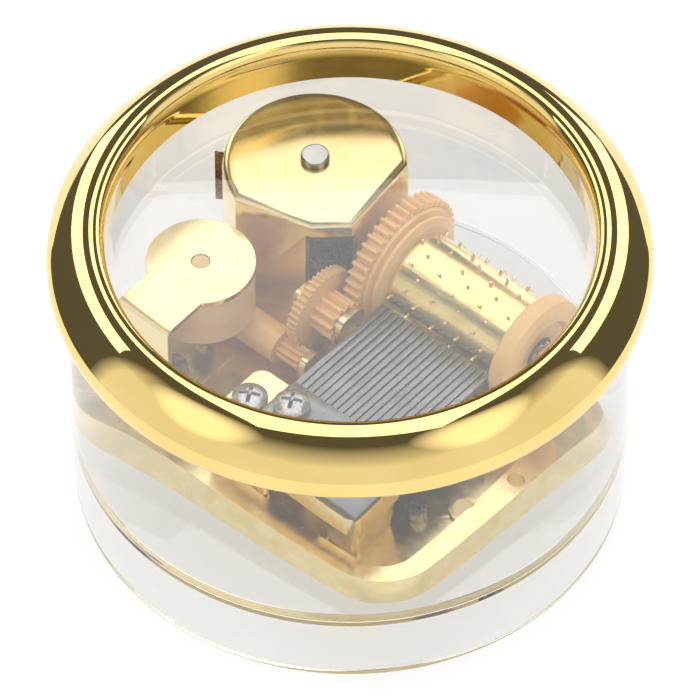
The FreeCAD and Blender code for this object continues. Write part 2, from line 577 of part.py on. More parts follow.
def cylinder_cap():
    """Moulded end cap with a dished face round the arbor."""
    bore = ROD_RADIUS + SCREW_FIT
    spigot = CYLINDER_RADIUS - CYLINDER_WALL - RUNNING_FIT
    left, right = CYLINDER_RIGHT, CAP_RIGHT
    return collar_about_x([(left - 2.0, bore), (left - 2.0, spigot), (left, spigot),
                           (left, CAP_RADIUS - 0.3), (left + 0.3, CAP_RADIUS),
                           (right - 0.5, CAP_RADIUS), (right, CAP_RADIUS - 0.5), (right, 4.9),
                           (right - 0.7, 4.3), (right - 0.7, 2.2), (right - 1.6, 2.0),
                           (right - 1.6, bore)], AXIS_Y, AXIS_Z)


def cylinder_rod():
    """Steel arbor of the cylinder with the turned collar that shows in the end cap."""
    body = axle(GEAR_LEFT - 1.5, CAP_RIGHT + 2.5, AXIS_Y, AXIS_Z, ROD_RADIUS)
    collar = axle(CAP_RIGHT - 1.5, CAP_RIGHT + 0.6, AXIS_Y, AXIS_Z, 1.75)
    groove = axle(CAP_RIGHT - 0.5, CAP_RIGHT - 0.1, AXIS_Y, AXIS_Z, 2.5).cut(
        axle(CAP_RIGHT - 0.6, CAP_RIGHT, AXIS_Y, AXIS_Z, 1.4))
    return body.fuse(collar).cut(groove)


# ---------------------------------------------------------------- train
def second_phases():
    """Angle of a tooth on the second arbor's pinion and of one on the third arbor's pinion."""
    first = -math.pi / 2 + math.pi / GEAR_TEETH
    towards = math.atan2(SECOND_Z - AXIS_Z, SECOND_Y - AXIS_Y)
    onward = math.atan2(THIRD_Z - SECOND_Z, THIRD_Y - SECOND_Y)
    pinion = meshing(first, GEAR_TEETH, towards, PINION_TEETH)
    third = meshing(0.0, SECOND_TEETH, onward, THIRD_PINION_TEETH)
    return pinion, third


def second_wheel():
    bore = PIVOT_RADIUS
    pinion, _ = second_phases()
    wheel = gear(SECOND_TEETH, FINE_MODULE, 0.0, SECOND_LEFT, SECOND_RIGHT, SECOND_Y, SECOND_Z, bore)
    leaves = gear(PINION_TEETH, MODULE, pinion, SECOND_RIGHT, SECOND_RIGHT + PINION_FACE,
                  SECOND_Y, SECOND_Z, bore)
    boss = axle(SECOND_LEFT - 0.8, SECOND_LEFT, SECOND_Y, SECOND_Z, 1.5)
    boss = boss.cut(axle(SECOND_LEFT - 1, SECOND_LEFT + 1, SECOND_Y, SECOND_Z, bore))
    return wheel.fuse([leaves, boss])


def second_arbor():
    return axle(SECOND_LEFT - 1.8, SECOND_POST + 0.7, SECOND_Y, SECOND_Z, PIVOT_RADIUS)


def third_wheel():
    """Long moulding: pinion, plain hub and the worm wheel at its far end."""
    _, third = second_phases()
    bore = PIVOT_RADIUS
    left = GOVERNOR_X - WORM_WHEEL_THICKNESS / 2
    right = GOVERNOR_X + WORM_WHEEL_THICKNESS / 2
    pinion_left = THIRD_PINION_RIGHT - THIRD_PINION_FACE
    wheel = gear(WORM_WHEEL_TEETH, WORM_MODULE, math.pi, left, right, THIRD_Y, THIRD_Z, bore)
    hub = axle(right, pinion_left, THIRD_Y, THIRD_Z, THIRD_HUB_RADIUS)
    hub = hub.cut(axle(right - 1, pinion_left + 1, THIRD_Y, THIRD_Z, bore))
    leaves = gear(THIRD_PINION_TEETH, FINE_MODULE, third, pinion_left,
                  pinion_left + THIRD_PINION_FACE, THIRD_Y, THIRD_Z, bore)
    return wheel.fuse([hub, leaves])


def third_arbor():
    return axle(FAR_POST - 0.7, THIRD_POST + 0.7, THIRD_Y, THIRD_Z, PIVOT_RADIUS)


# ---------------------------------------------------------------- governor
def governor_frame():
    """Bent sheet frame: round top plate, front leg and the foot on the bed plate."""
    half = GOVERNOR_TAB / 2
    x0, x1 = GOVERNOR_X + 0.5 - half, GOVERNOR_X + 0.5 + half
    sheet = GOVERNOR_SHEET
    leg = block(x0, x1, GOVERNOR_FRONT, GOVERNOR_Y, PAN, GOVERNOR_Z)
    inside = block(x0 - 1, x1 + 1, GOVERNOR_FRONT + sheet, GOVERNOR_Y + 1, PAN + sheet,
                   GOVERNOR_Z - sheet)
    bends = [e for e in leg.Edges if abs(e.tangentAt(e.FirstParameter).x) > 0.99
             and e.BoundBox.Center.y < GOVERNOR_FRONT + 0.01]
    leg = leg.makeFillet(1.1, bends).cut(inside)
    disc = rod(GOVERNOR_X, GOVERNOR_Y, GOVERNOR_Z - sheet, GOVERNOR_DISC, sheet)
    toe = block(x0, x1, GOVERNOR_Y, THIRD_Y - WORM_WHEEL_RADIUS - 0.1, PAN, PAN + sheet)
    holes = [rod(GOVERNOR_X, GOVERNOR_Y, GOVERNOR_Z - 2, 1.15, 3),
             rod(GOVERNOR_X, GOVERNOR_Y, PAN - 1, PIVOT_RADIUS + RUNNING_FIT, 3),
             rod(GOVERNOR_SCREW[0], GOVERNOR_SCREW[1], PAN - 1, SCREW_RADIUS + SCREW_FIT, 3)]
    return leg.fuse([disc, toe]).removeSplitter().cut(holes)


def governor_cup():
    """Moulded shroud round the fan, with the upper bearing in its crown."""
    low = CUP_TOP - CUP_HEIGHT
    bore = PIVOT_RADIUS + RUNNING_FIT
    cup = turned([(CUP_RADIUS - CUP_WALL, low), (CUP_RADIUS, low), (CUP_RADIUS, CUP_TOP - 0.3),
                  (CUP_RADIUS - 0.3, CUP_TOP), (1.1, CUP_TOP), (1.1, GOVERNOR_Z - 0.1),
                  (0, GOVERNOR_Z - 0.1), (0, CUP_TOP - 0.2), (bore, CUP_TOP - 0.2),
                  (bore, CUP_TOP - 1.0), (CUP_RADIUS - CUP_WALL, CUP_TOP - 1.0)])
    cup.translate(V(GOVERNOR_X, GOVERNOR_Y, 0))
    return cup


def worm():
    """Vertical steel arbor with a right-hand thread round its core."""
    core, low, turns = WORM_RADIUS - 0.35, THIRD_Z - 2.0, 5
    shaft = rod(GOVERNOR_X, GOVERNOR_Y, PAN - 0.9, PIVOT_RADIUS, CUP_TOP - 0.3 - PAN + 0.9)
    body = rod(GOVERNOR_X, GOVERNOR_Y, low - 0.2, core, turns * WORM_PITCH + 0.7)
    rise = low + 0.5
    helix = Part.makeHelix(WORM_PITCH, (turns - 1) * WORM_PITCH, core)
    shape = [V(core - 0.15, 0, -0.22), V(core + WORM_THREAD, 0, -0.10),
             V(core + WORM_THREAD, 0, 0.10), V(core - 0.15, 0, 0.22)]
    section = Part.Wire(Part.makePolygon(shape + shape[:1]))
    thread = Part.Wire(helix).makePipeShell([section], True, True)
    # the thread crosses the +Y side half a pitch above the worm wheel's axis
    quarter = (THIRD_Z + WORM_PITCH / 2 - rise) / WORM_PITCH
    thread.rotate(V(0, 0, 0), Z_AXIS, 90 - 360 * (quarter % 1))
    thread.translate(V(GOVERNOR_X, GOVERNOR_Y, rise))
    return shaft.fuse([body, thread])


def fan():
    """Two-bladed air brake on a hub that is pressed on the worm's arbor."""
    low, high = CUP_TOP - CUP_HEIGHT + 0.8, CUP_TOP - 1.4
    blades = block(-FAN_RADIUS, FAN_RADIUS, -0.3, 0.3, low + 0.6, high)
    disc = rod(0, 0, low, FAN_RADIUS - 0.6, 0.6)
    hub = rod(0, 0, low, 1.3, high - low)
    body = blades.fuse([disc, hub]).cut(rod(0, 0, low - 1, PIVOT_RADIUS, 9))
    body.translate(V(GOVERNOR_X, GOVERNOR_Y, 0))
    return body


def governor_screw():
    return screw(GOVERNOR_SCREW[0], GOVERNOR_SCREW[1], PAN + GOVERNOR_SHEET, 1.9)


# ---------------------------------------------------------------- comb
def pillar(x0, x1, y0, y1, taper, top):
    """Drafted pillar, narrower at its foot."""
    lower = [V(x0 + taper, y0 + taper, PAN), V(x1 - taper / 2, y0 + taper, PAN),
             V(x1 - taper / 2, y1 - taper, PAN), V(x0 + taper, y1 - taper, PAN)]
    upper = [V(x0, y0, top), V(x1, y0, top), V(x1, y1, top), V(x0, y1, top)]
    wires = [Part.makePolygon(w + w[:1]) for w in (lower, upper)]
    body = Part.makeLoft(wires, True, True)
    upright = [e for e in body.Edges if e.BoundBox.ZLength > 2]
    return body.makeFillet(0.8, upright)


def comb_bridge():
    """Cast bridge that carries the comb: a slab on two pillars."""
    right, back = COMB_RIGHT, COMB_ROOT - 0.4
    slab = rounded_plate(BRIDGE_LEFT, right, COMB_FRONT - 0.4, back, COMB_UNDER - BRIDGE_SLAB,
                         COMB_UNDER, 1.6)
    legs = [pillar(BRIDGE_LEFT + 0.3, 2.6, COMB_FRONT, back - 0.4, 0.8, COMB_UNDER - 1),
            pillar(9.6, right - 0.3, COMB_FRONT, back - 0.4, 1.1, COMB_UNDER - 1)]
    holes = [rod(x, y, COMB_UNDER - 4.2, SCREW_RADIUS + SCREW_FIT, 10) for x, y in COMB_SCREWS]
    holes += [rod(BRIDGE_SCREW[0], BRIDGE_SCREW[1], 0, SCREW_RADIUS + SCREW_FIT, 50)]
    return slab.fuse(legs).cut(holes)


def comb():
    """Hardened steel comb: a thick root with a tooth for each note."""
    base = block(COMB_LEFT, COMB_RIGHT, COMB_FRONT, COMB_ROOT, COMB_UNDER, COMB_TOP)
    pitch = (CYLINDER_RIGHT - CYLINDER_LEFT) / NOTES
    teeth = []
    for note in range(NOTES):
        x0 = CYLINDER_LEFT + pitch * note + TOOTH_SLOT / 2
        x1 = x0 + pitch - TOOTH_SLOT
        reach = COMB_TIP - 0.7
        side = [V(x0, COMB_ROOT - 0.5, COMB_UNDER), V(x0, reach, COMB_UNDER + 0.25),
                V(x0, COMB_TIP, COMB_UNDER + 0.45), V(x0, COMB_TIP, COMB_TOP - 0.1),
                V(x0, reach, COMB_TOP - 0.1), V(x0, COMB_ROOT - 0.5, COMB_TOP)]
        teeth.append(Part.Face(Part.makePolygon(side + side[:1])).extrude(V(x1 - x0, 0, 0)))
    holes = [rod(x, y, COMB_UNDER - 1, SCREW_RADIUS + SCREW_FIT, 4) for x, y in COMB_SCREWS]
    corner = block(COMB_LEFT - 1, BRIDGE_SCREW[0] + SCREW_HEAD_RADIUS + 0.3, COMB_FRONT - 1,
                   COMB_ROOT - 1.4, COMB_UNDER - 1, COMB_TOP + 1)
    return base.fuse(teeth).cut(holes + [corner])


def comb_screws():
    return Part.makeCompound([screw(x, y, COMB_TOP, 4.2) for x, y in COMB_SCREWS])


def bridge_screw():
    return screw(BRIDGE_SCREW[0], BRIDGE_SCREW[1], COMB_UNDER, COMB_UNDER - FLOOR_TOP - 0.8)


def main():
    os.makedirs("parts", exist_ok=True)
    export("case_base", case_base())
    export("clear_cover", clear_cover(), placed=False)
    export("gold_ring", gold_ring(), placed=False)
    for make in (case_screws, bed_plate, spring_housing, mainspring, winding_arbor, winding_key,
                 drive_wheel, clutch_collar, clutch_spring, cylinder_tube, cylinder_pins,
                 cylinder_gear, cylinder_cap, cylinder_rod, second_wheel, second_arbor,
                 third_wheel, third_arbor, governor_frame, governor_cup, governor_screw, worm,
                 fan, comb_bridge, comb, comb_screws, bridge_screw):
        export(make.__name__, make())


main()
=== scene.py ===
import json
import math

import bmesh
import bpy
from mathutils import Matrix, Vector

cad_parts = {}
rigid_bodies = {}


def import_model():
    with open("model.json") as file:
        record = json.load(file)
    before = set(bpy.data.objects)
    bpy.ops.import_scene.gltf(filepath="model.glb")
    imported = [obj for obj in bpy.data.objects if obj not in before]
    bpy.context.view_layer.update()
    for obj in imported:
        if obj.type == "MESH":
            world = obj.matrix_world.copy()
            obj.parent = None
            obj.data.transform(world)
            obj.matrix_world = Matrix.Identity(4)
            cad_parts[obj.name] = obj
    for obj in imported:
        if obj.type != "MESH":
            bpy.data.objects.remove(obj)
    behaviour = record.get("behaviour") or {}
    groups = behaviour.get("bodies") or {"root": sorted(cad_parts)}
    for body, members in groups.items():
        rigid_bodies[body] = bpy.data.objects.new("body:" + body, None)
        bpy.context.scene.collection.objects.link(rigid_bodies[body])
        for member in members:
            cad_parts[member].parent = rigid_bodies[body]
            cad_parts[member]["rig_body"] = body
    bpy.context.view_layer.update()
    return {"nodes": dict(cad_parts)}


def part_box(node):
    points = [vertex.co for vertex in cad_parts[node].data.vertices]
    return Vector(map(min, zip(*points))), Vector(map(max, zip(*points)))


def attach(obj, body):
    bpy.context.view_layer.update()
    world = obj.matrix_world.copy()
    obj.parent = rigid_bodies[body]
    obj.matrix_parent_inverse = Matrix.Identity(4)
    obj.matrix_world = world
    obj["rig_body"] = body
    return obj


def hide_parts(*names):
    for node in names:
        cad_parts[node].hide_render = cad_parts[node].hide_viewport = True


MM = 0.001
TURN = math.radians(-40.8)          # how the movement is turned in its case

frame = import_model()


# ------------------------------------------------------------------ sizes, millimetres
WALL, WINDOW, EDGE_ROUND = 2.1, 1.8, 0.3    # clear cover
PLINTH_WALL, FLOOR, FLOOR_STEP = 1.9, 2.2, 1.2
CASE_FIT = 0.1
RING_BAND, RING_REACH = 1.8, 4.6
AXIS_Y, AXIS_Z = 13.8, 20.5         # pinned cylinder
TUBE_LEFT, TUBE_RIGHT, TUBE_RADIUS, TUBE_WALL = -1.3, 15.9, 5.7, 0.7
PIN_RADIUS, PIN_HEIGHT, PIN_TURN = 0.22, 0.55, math.radians(222.5)
NOTES, PINS_PER_NOTE = 18, 5
MODULE, GEAR_TEETH, PINION_TEETH = 0.4, 44, 12
GEAR_LEFT, GEAR_FACE = -5.3, 2.3
FINE_MODULE, SECOND_TEETH, SECOND_FACE = 0.25, 42, 1.4
SECOND_LEFT, SECOND_DROP, PINION_FACE = GEAR_LEFT - 2.4, 0.5, 3.2
ROD_BORE, PIVOT = 0.93, 0.5
GEAR_STEPS = ((-0.05, ROD_BORE), (-0.05, 8.2), (0.5, 8.2), (0.6, 7.2), (0.85, 7.2),
              (0.95, 7.6), (1.3, 7.5))      # behind the gear's face, and radius
GEAR_NECK, SPIGOT_LENGTH, SPIGOT_PLAY = 6.5, 2.0, 0.05
BOSS_RADIUS, BOSS_LEFT, BOSS_RIGHT = 1.5, 0.8, 0.1
MESH_PLAY, TOOTH_OVERLAP = 0.03, 0.06
# a tooth's sizes as shares of the module
DEDENDUM, TOOTH_FOOT, TOOTH_CREST, TOOTH_HEIGHT, TOOTH_ROUND = 1.1, 2.05, 0.8, 2.1, 0.28
COMB_TOP, COMB_THICKNESS = 20.6, 0.9
COMB_LEFT, COMB_RIGHT, COMB_FRONT, COMB_ROOT, COMB_TIP = -1.4, 16.4, -18.0, -8.6, 7.5
COMB_SLOT, COMB_THINNING, COMB_SINK = 0.22, 0.14, 0.5
PLATE_PAN, PLINTH_FLOOR = 12.5, 8.3
SCREW_RADIUS, HEAD_RADIUS, HEAD_HEIGHT = 1.1, 2.2, 1.4
HEAD_SPREAD, RECESS_SPREAD = 1.12, 1.2      # as shares of the head's radius
RECESS_WIDTH, RECESS_DEPTH, RECESS_TURN = 0.5, 1.4, 0.5
HOLE_PLAY, DRILL_LENGTH, SHANK_OVERLAP = 0.03, 6.0, 0.02
COMB_SCREWS = ((1.0, -11.8, COMB_TOP), (12.0, -12.6, COMB_TOP))
BRIDGE_SCREW = ((-3.9, -13.8, COMB_TOP - COMB_THICKNESS),)
GOVERNOR_SCREW = ((-17.8, -12.6, PLATE_PAN + 0.8),)
CASE_SCREWS = ((16.9, -7.8, PLINTH_FLOOR), (-9.5, -15.6, PLINTH_FLOOR),
               (8.0, 18.0, PLINTH_FLOOR))


# ------------------------------------------------------------------ nodes and materials
def rgb(text):
    """sRGB hex colour as linear RGBA."""
    parts = [int(text[i:i + 2], 16) / 255 for i in (1, 3, 5)]
    linear = [c / 12.92 if c <= 0.04045 else ((c + 0.055) / 1.055) ** 2.4 for c in parts]
    return (*linear, 1.0)


def add(tree, kind, links=None, **settings):
    """Add a node, set its properties and fill or link its inputs."""
    node = tree.nodes.new(kind)
    for name, value in settings.items():
        setattr(node, name, value)
    for name, value in (links or {}).items():
        socket = node.inputs[name]
        if isinstance(value, bpy.types.NodeSocket):
            tree.links.new(value, socket)
        else:
            socket.default_value = value
    return node


def blank_material(name):
    material = bpy.data.materials.new(name)
    material.use_nodes = True
    material.node_tree.nodes.clear()
    return material, material.node_tree


def in_millimetres(tree):
    """Place on the piece in millimetres, so a pattern's scale is one over its real size."""
    where = add(tree, "ShaderNodeTexCoord").outputs["Object"]
    return add(tree, "ShaderNodeMapping", {"Vector": where, "Scale": (1 / MM,) * 3}).outputs[0]


def drifting(tree, where, light, dark, gloss, size, smear_where, smear_scale, smear_detail):
    """Tint that drifts between two colours, and roughness between two glosses, in soft patches."""
    drift = add(tree, "ShaderNodeTexNoise", {"Vector": where, "Scale": 1 / size, "Detail": 3.0})
    share = add(tree, "ShaderNodeMapRange", {"Value": drift.outputs[0], "From Min": 0.3,
                                             "From Max": 0.7})
    tint = add(tree, "ShaderNodeMix", {0: share.outputs[0], 6: rgb(light), 7: rgb(dark)},
               data_type="RGBA")
    smear = add(tree, "ShaderNodeTexNoise", {"Vector": smear_where, "Scale": smear_scale,
                                             "Detail": smear_detail})
    polish = add(tree, "ShaderNodeMapRange", {"Value": smear.outputs[0], "From Min": 0.3,
                                              "From Max": 0.7, "To Min": gloss[0],
                                              "To Max": gloss[1]})
    return tint.outputs[2], polish.outputs[0]


def metal(name, light, dark, gloss, patch=4.0, stretch=(1, 1, 1), grain=0.25, depth=0.002,
          turn=TURN, pits=0.0, pit_size=0.7):
    """Metal whose tint drifts over `patch` mm; grain `depth` mm deep runs along the piece,
    which lies at `turn`, and pits are `pits` mm deep and `pit_size` mm apart."""
    material, tree = blank_material(name)
    plain = in_millimetres(tree)
    turned = add(tree, "ShaderNodeMapping", {"Vector": plain, "Rotation": (0, 0, -turn)})
    along = add(tree, "ShaderNodeMapping", {"Vector": turned.outputs[0],
                                            "Scale": stretch}).outputs[0]
    tint, polish = drifting(tree, plain, light, dark, gloss, patch, along, 1 / (3 * grain), 4.0)
    fine = add(tree, "ShaderNodeTexNoise", {"Vector": along, "Scale": 1 / grain, "Detail": 4.0})
    normal = add(tree, "ShaderNodeBump", {"Height": fine.outputs[0], "Distance": depth * MM})
    if pits:
        cells = add(tree, "ShaderNodeTexVoronoi", {"Vector": plain, "Scale": 1 / pit_size})
        hollow = add(tree, "ShaderNodeMapRange", {"Value": cells.outputs["Distance"],
                                                  "From Max": 0.35})
        normal = add(tree, "ShaderNodeBump", {"Height": hollow.outputs[0], "Distance": pits * MM,
                                              "Normal": normal.outputs[0]})
    skin = add(tree, "ShaderNodeBsdfPrincipled", {
        "Base Color": tint, "Metallic": 1.0, "Roughness": polish, "Normal": normal.outputs[0]})
    add(tree, "ShaderNodeOutputMaterial", {"Surface": skin.outputs[0]})
    return material


def plastic(name, light, dark, gloss, patch=3.0, grain=0.15, depth=0.004, translucent=0.25,
            ior=1.48):
    """Moulded plastic: soft colour drift, faint mould texture and a little translucency."""
    material, tree = blank_material(name)
    plain = in_millimetres(tree)
    tint, polish = drifting(tree, plain, light, dark, gloss, patch, plain, 2 / patch, 3.0)
    mould = add(tree, "ShaderNodeTexNoise", {"Vector": plain, "Scale": 1 / grain, "Detail": 3.0})
    normal = add(tree, "ShaderNodeBump", {"Height": mould.outputs[0], "Distance": depth * MM})
    skin = add(tree, "ShaderNodeBsdfPrincipled", {
        "Base Color": tint, "Roughness": polish, "Normal": normal.outputs[0], "IOR": ior,
        "Subsurface Weight": translucent,
        "Subsurface Radius": (1.0, 0.6, 0.35), "Subsurface Scale": 0.6 * MM})
    add(tree, "ShaderNodeOutputMaterial", {"Surface": skin.outputs[0]})
    return material


WALLS_CROSSED = 3.5                 # bends a ray may have made before it goes straight on


def clear_polystyrene():
    """Clear moulded polystyrene: glassy, a touch warm, with faint flow waves. Lamp light and
    light that has crossed many walls go straight through, as they would in thin clear walls."""
    material, tree = blank_material("clear_moulded_polystyrene")
    plain = in_millimetres(tree)
    flow = add(tree, "ShaderNodeTexNoise", {"Vector": plain, "Scale": 0.11, "Detail": 1.0})
    waves = add(tree, "ShaderNodeBump", {"Height": flow.outputs[0], "Distance": 0.004 * MM})
    smear = add(tree, "ShaderNodeTexNoise", {"Vector": plain, "Scale": 0.2, "Detail": 3.0})
    polish = add(tree, "ShaderNodeMapRange", {"Value": smear.outputs[0], "To Max": 0.03})
    clear = add(tree, "ShaderNodeBsdfPrincipled", {
        "Base Color": rgb("#efeeed"), "Roughness": polish.outputs[0], "IOR": 1.59,
        "Transmission Weight": 1.0, "Normal": waves.outputs[0]})
    lamp = add(tree, "ShaderNodeBsdfTransparent", {"Color": rgb("#f7f7f6")})
    path = add(tree, "ShaderNodeLightPath")
    either = add(tree, "ShaderNodeMath", {0: path.outputs["Is Shadow Ray"],
                                          1: path.outputs["Is Diffuse Ray"]}, operation="MAXIMUM")
    late = add(tree, "ShaderNodeMath", {0: path.outputs["Ray Depth"], 1: WALLS_CROSSED},
               operation="GREATER_THAN")
    straight = add(tree, "ShaderNodeMath", {0: either.outputs[0], 1: late.outputs[0]},
                   operation="MAXIMUM")
    mix = add(tree, "ShaderNodeMixShader", {0: straight.outputs[0], 1: clear.outputs[0],
                                            2: lamp.outputs[0]})
    add(tree, "ShaderNodeOutputMaterial", {"Surface": mix.outputs[0]})
    return material


def welded_seam():
    """Where cover and plinth are welded: light runs straight through, a little greyed in spots."""
    material, tree = blank_material("welded_polystyrene_seam")
    spots = add(tree, "ShaderNodeTexNoise", {"Vector": in_millimetres(tree), "Scale": 0.5,
                                             "Detail": 3.0})
    colour = add(tree, "ShaderNodeMix", {0: spots.outputs[0], 6: rgb("#f1eeea"),
                                         7: rgb("#e4e0da")}, data_type="RGBA")
    through = add(tree, "ShaderNodeBsdfTransparent", {"Color": colour.outputs[2]})
    add(tree, "ShaderNodeOutputMaterial", {"Surface": through.outputs[0]})
    return material


# Grain, drawing marks, mould texture and pits are really 0.02 to 0.1 mm fine, too fine to show
# here, so `grain` and `pit_size` draw them several times coarser. Only the ring's ripples, the
# tint patches and the flow waves in the clear case have their real size.

# mirror-bright gold with the long soft ripples of metallised plastic
GOLD_RING = metal("gold_metallised_abs", "#f6da90", "#f1d285", (0.02, 0.05), patch=9.0,
                  grain=1.6, depth=0.0012, turn=0.0)
# warm gold casting, softly mottled and faintly pitted, so its broad faces shimmer
GOLD_CAST = metal("gold_plated_zinc_casting", "#fdeeb8", "#f7dc96", (0.16, 0.28), patch=2.2,
                  grain=0.6, depth=0.002, pits=0.001, pit_size=0.9)
# pale gold sheet with a smooth, slightly wavy press finish
GOLD_SHEET = metal("gold_plated_pressed_steel", "#fdecb6", "#f9e1a4", (0.18, 0.26), patch=4.0,
                   grain=0.8, depth=0.003)
# drawn gold tube: fine lengthwise drawing marks and small specks that sparkle
GOLD_TUBE = metal("gold_plated_brass_tube", "#fde6a2", "#f4d78c", (0.18, 0.28), patch=2.0,
                  stretch=(0.2, 1, 1), grain=0.35, depth=0.003, pits=0.002, pit_size=0.6)
# duller stamped brass of the hidden wheels
BRASS = metal("stamped_brass", "#e3bf7c", "#cfa765", (0.2, 0.34), grain=0.2, depth=0.003)
# grey ground steel, its grinding marks, drawn 0.16 mm wide, running the length of the teeth
COMB_STEEL = metal("ground_hardened_steel", "#8a8b8d", "#75767a", (0.26, 0.38), patch=3.0,
                   stretch=(1, 0.08, 1), grain=0.16, depth=0.002)
# turned steel with fine rings that catch the light
BRIGHT_STEEL = metal("turned_bright_steel", "#d4d2cf", "#bdbbb8", (0.14, 0.26), grain=0.12,
                     stretch=(1, 0.2, 0.2), depth=0.002)
# steel pins painted warm gold, a painted reflection of the gold round them, with bright rounded
# tips
PIN_STEEL_PAINTED_GOLD_REFLECTION = metal("polished_pin_steel_painted_gold_reflection", "#f4e3c0", "#e6cf9f", (0.1, 0.2), patch=0.5, grain=0.08,
                  depth=0.001)
# bright, slightly frosted zinc with small bluish-grey patches
ZINC = metal("zinc_plated_steel", "#c9c8c6", "#9f9ea2", (0.2, 0.36), patch=0.7, grain=0.3,
             depth=0.03)
# warm white nickel of the key
NICKEL = metal("nickel_plated_steel", "#dcd8d0", "#cbc6bd", (0.08, 0.18), grain=0.4, depth=0.002)
# tempered steel strip with a straw-brown temper colour
SPRING_STEEL = metal("straw_tempered_spring_steel", "#b99a6b", "#8f7448", (0.2, 0.32), grain=0.2,
                     depth=0.002)
# soft peach plastic that glows a little at thin edges
PEACH = plastic("peach_acetal", "#fbcf88", "#f3c27a", (0.32, 0.42))
# the paler, more satin shroud
PEACH_CUP = plastic("peach_acetal_satin", "#f0cc98", "#e8c08b", (0.36, 0.46))
# milky nylon fan
NYLON = plastic("natural_nylon", "#ece6da", "#e2dbcd", (0.35, 0.5), translucent=0.3, ior=1.53)
# water-clear case with bright rims
CLEAR = clear_polystyrene()
SEAM = welded_seam()


def mesh_object(name, mesh):
    item = bpy.data.objects.new(name, mesh)
    bpy.context.scene.collection.objects.link(item)
    return item


def stands_for(item, node, material, sharp=32.0):
    """Outward normals, smooth curves, one finish; the piece takes a CAD node's place."""
    shape = bmesh.new()
    shape.from_mesh(item.data)
    bmesh.ops.recalc_face_normals(shape, faces=shape.faces)
    shape.to_mesh(item.data)
    shape.free()
    item.data.shade_smooth()
    item.data.set_sharp_from_angle(angle=math.radians(sharp))
    item.data.materials.clear()
    item.data.materials.append(material)
    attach(item, frame["nodes"][node]["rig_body"])
    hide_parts(node)
    return item


def lathe(name, profile, segments=256):
    """Mesh revolved about Z from a closed (radius, height) outline in millimetres."""
    shape = bmesh.new()
    rings = []
    for radius, height in profile:
        if radius < 1e-6:
            rings.append([shape.verts.new((0, 0, height * MM))])
            continue
        rings.append([shape.verts.new((radius * MM * math.cos(2 * math.pi * k / segments),
                                       radius * MM * math.sin(2 * math.pi * k / segments),
                                       height * MM)) for k in range(segments)])
    for low, high in zip(rings, rings[1:] + rings[:1]):
        for k in range(segments):
            after = (k + 1) % segments
            corners = [low[k % len(low)], low[after % len(low)],
                       high[after % len(high)], high[k % len(high)]]
            unique = list(dict.fromkeys(corners))
            if len(unique) > 2:
                shape.faces.new(unique)
    mesh = bpy.data.meshes.new(name)
    shape.to_mesh(mesh)
    shape.free()
    return mesh


def rounded(points, radius, steps=4):
    """Closed outline with each corner rounded off, keeping points that lie on the axis."""
    result = []
    for i, (r, z) in enumerate(points):
        here = Vector((r, z))
        if r < 1e-6:
            result.append((r, z))
            continue
        a = Vector(points[i - 1]) - here
        b = Vector(points[(i + 1) % len(points)]) - here
        reach = min(radius, a.length * 0.45, b.length * 0.45)
        start, end = here + a.normalized() * reach, here + b.normalized() * reach
        for k in range(steps + 1):
            t = k / steps
            point = start * (1 - t) ** 2 + here * 2 * t * (1 - t) + end * t ** 2
            result.append((point.x, point.y))
    return result


def smooth_curve(points, steps=8):
    """Catmull-Rom curve through the points."""
    ends = [points[0]] + points + [points[-1]]
    line = []
    for a, b, c, d in zip(ends, ends[1:], ends[2:], ends[3:]):
        for k in range(steps):
            t = k / steps
            line.append(tuple(0.5 * (2 * q + (r - p) * t + (2 * p - 5 * q + 4 * r - s) * t * t
                                     + (3 * q - p - 3 * r + s) * t ** 3)
                              for p, q, r, s in zip(a, b, c, d)))
    return line + [points[-1]]


# ------------------------------------------------------------------ case
ring_low, ring_high = (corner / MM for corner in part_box("gold_ring"))
cover_low, cover_high = (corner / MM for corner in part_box("clear_cover"))
base_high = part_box("case_base")[1] / MM


def gold_ring():
    """Metallised bead ring: one smooth convex form with a tight inner lip over the window."""
    mouth = cover_high.x - RING_REACH
    shoulder = ring_low.z + RING_BAND
    run, rise = ring_high.x - mouth, ring_high.z - shoulder
    section = ((0.0, 0.0), (0.036, 0.167), (0.121, 0.333), (0.25, 0.539), (0.40, 0.735),
               (0.557, 0.892), (0.686, 0.98), (0.786, 1.0), (0.871, 0.956), (0.936, 0.873),
               (0.979, 0.75), (1.0, 0.58), (1.0, 0.36), (1.0, 0.14))
    bead = smooth_curve([(ring_high.x - run * a, shoulder + rise * b) for a, b in section])
    seat = cover_high.x + CASE_FIT
    long, short = 0.45, 0.13            # how the outer foot is rounded
    foot = [(mouth, cover_high.z), (seat, cover_high.z), (seat, ring_low.z),
            (ring_high.x - long, ring_low.z), (ring_high.x - short, ring_low.z + short),
            (ring_high.x, ring_low.z + long)]
    item = mesh_object("gold_bead_ring", lathe("gold_bead_ring", bead + foot, 320))
    stands_for(item, "gold_ring", GOLD_RING, sharp=50)


def seamed(item, height):
    """Give the flat faces at the weld their own finish."""
    item.data.materials.append(SEAM)
    for face in item.data.polygons:
        if abs(face.normal.z) > 0.999 and abs(face.center.z / MM - height) < 0.01:
            face.material_index = 1


def cover():
    """Clear drum and window in one moulding."""
    inside = cover_high.x - WALL
    outline = [(0, cover_high.z - WINDOW), (inside, cover_high.z - WINDOW), (inside, cover_low.z),
               (cover_high.x, cover_low.z), (cover_high.x, cover_high.z), (0, cover_high.z)]
    item = mesh_object("clear_drum_and_window",
                       lathe("clear_drum_and_window", rounded(outline, EDGE_ROUND)))
    seamed(stands_for(item, "clear_cover", CLEAR), cover_low.z)


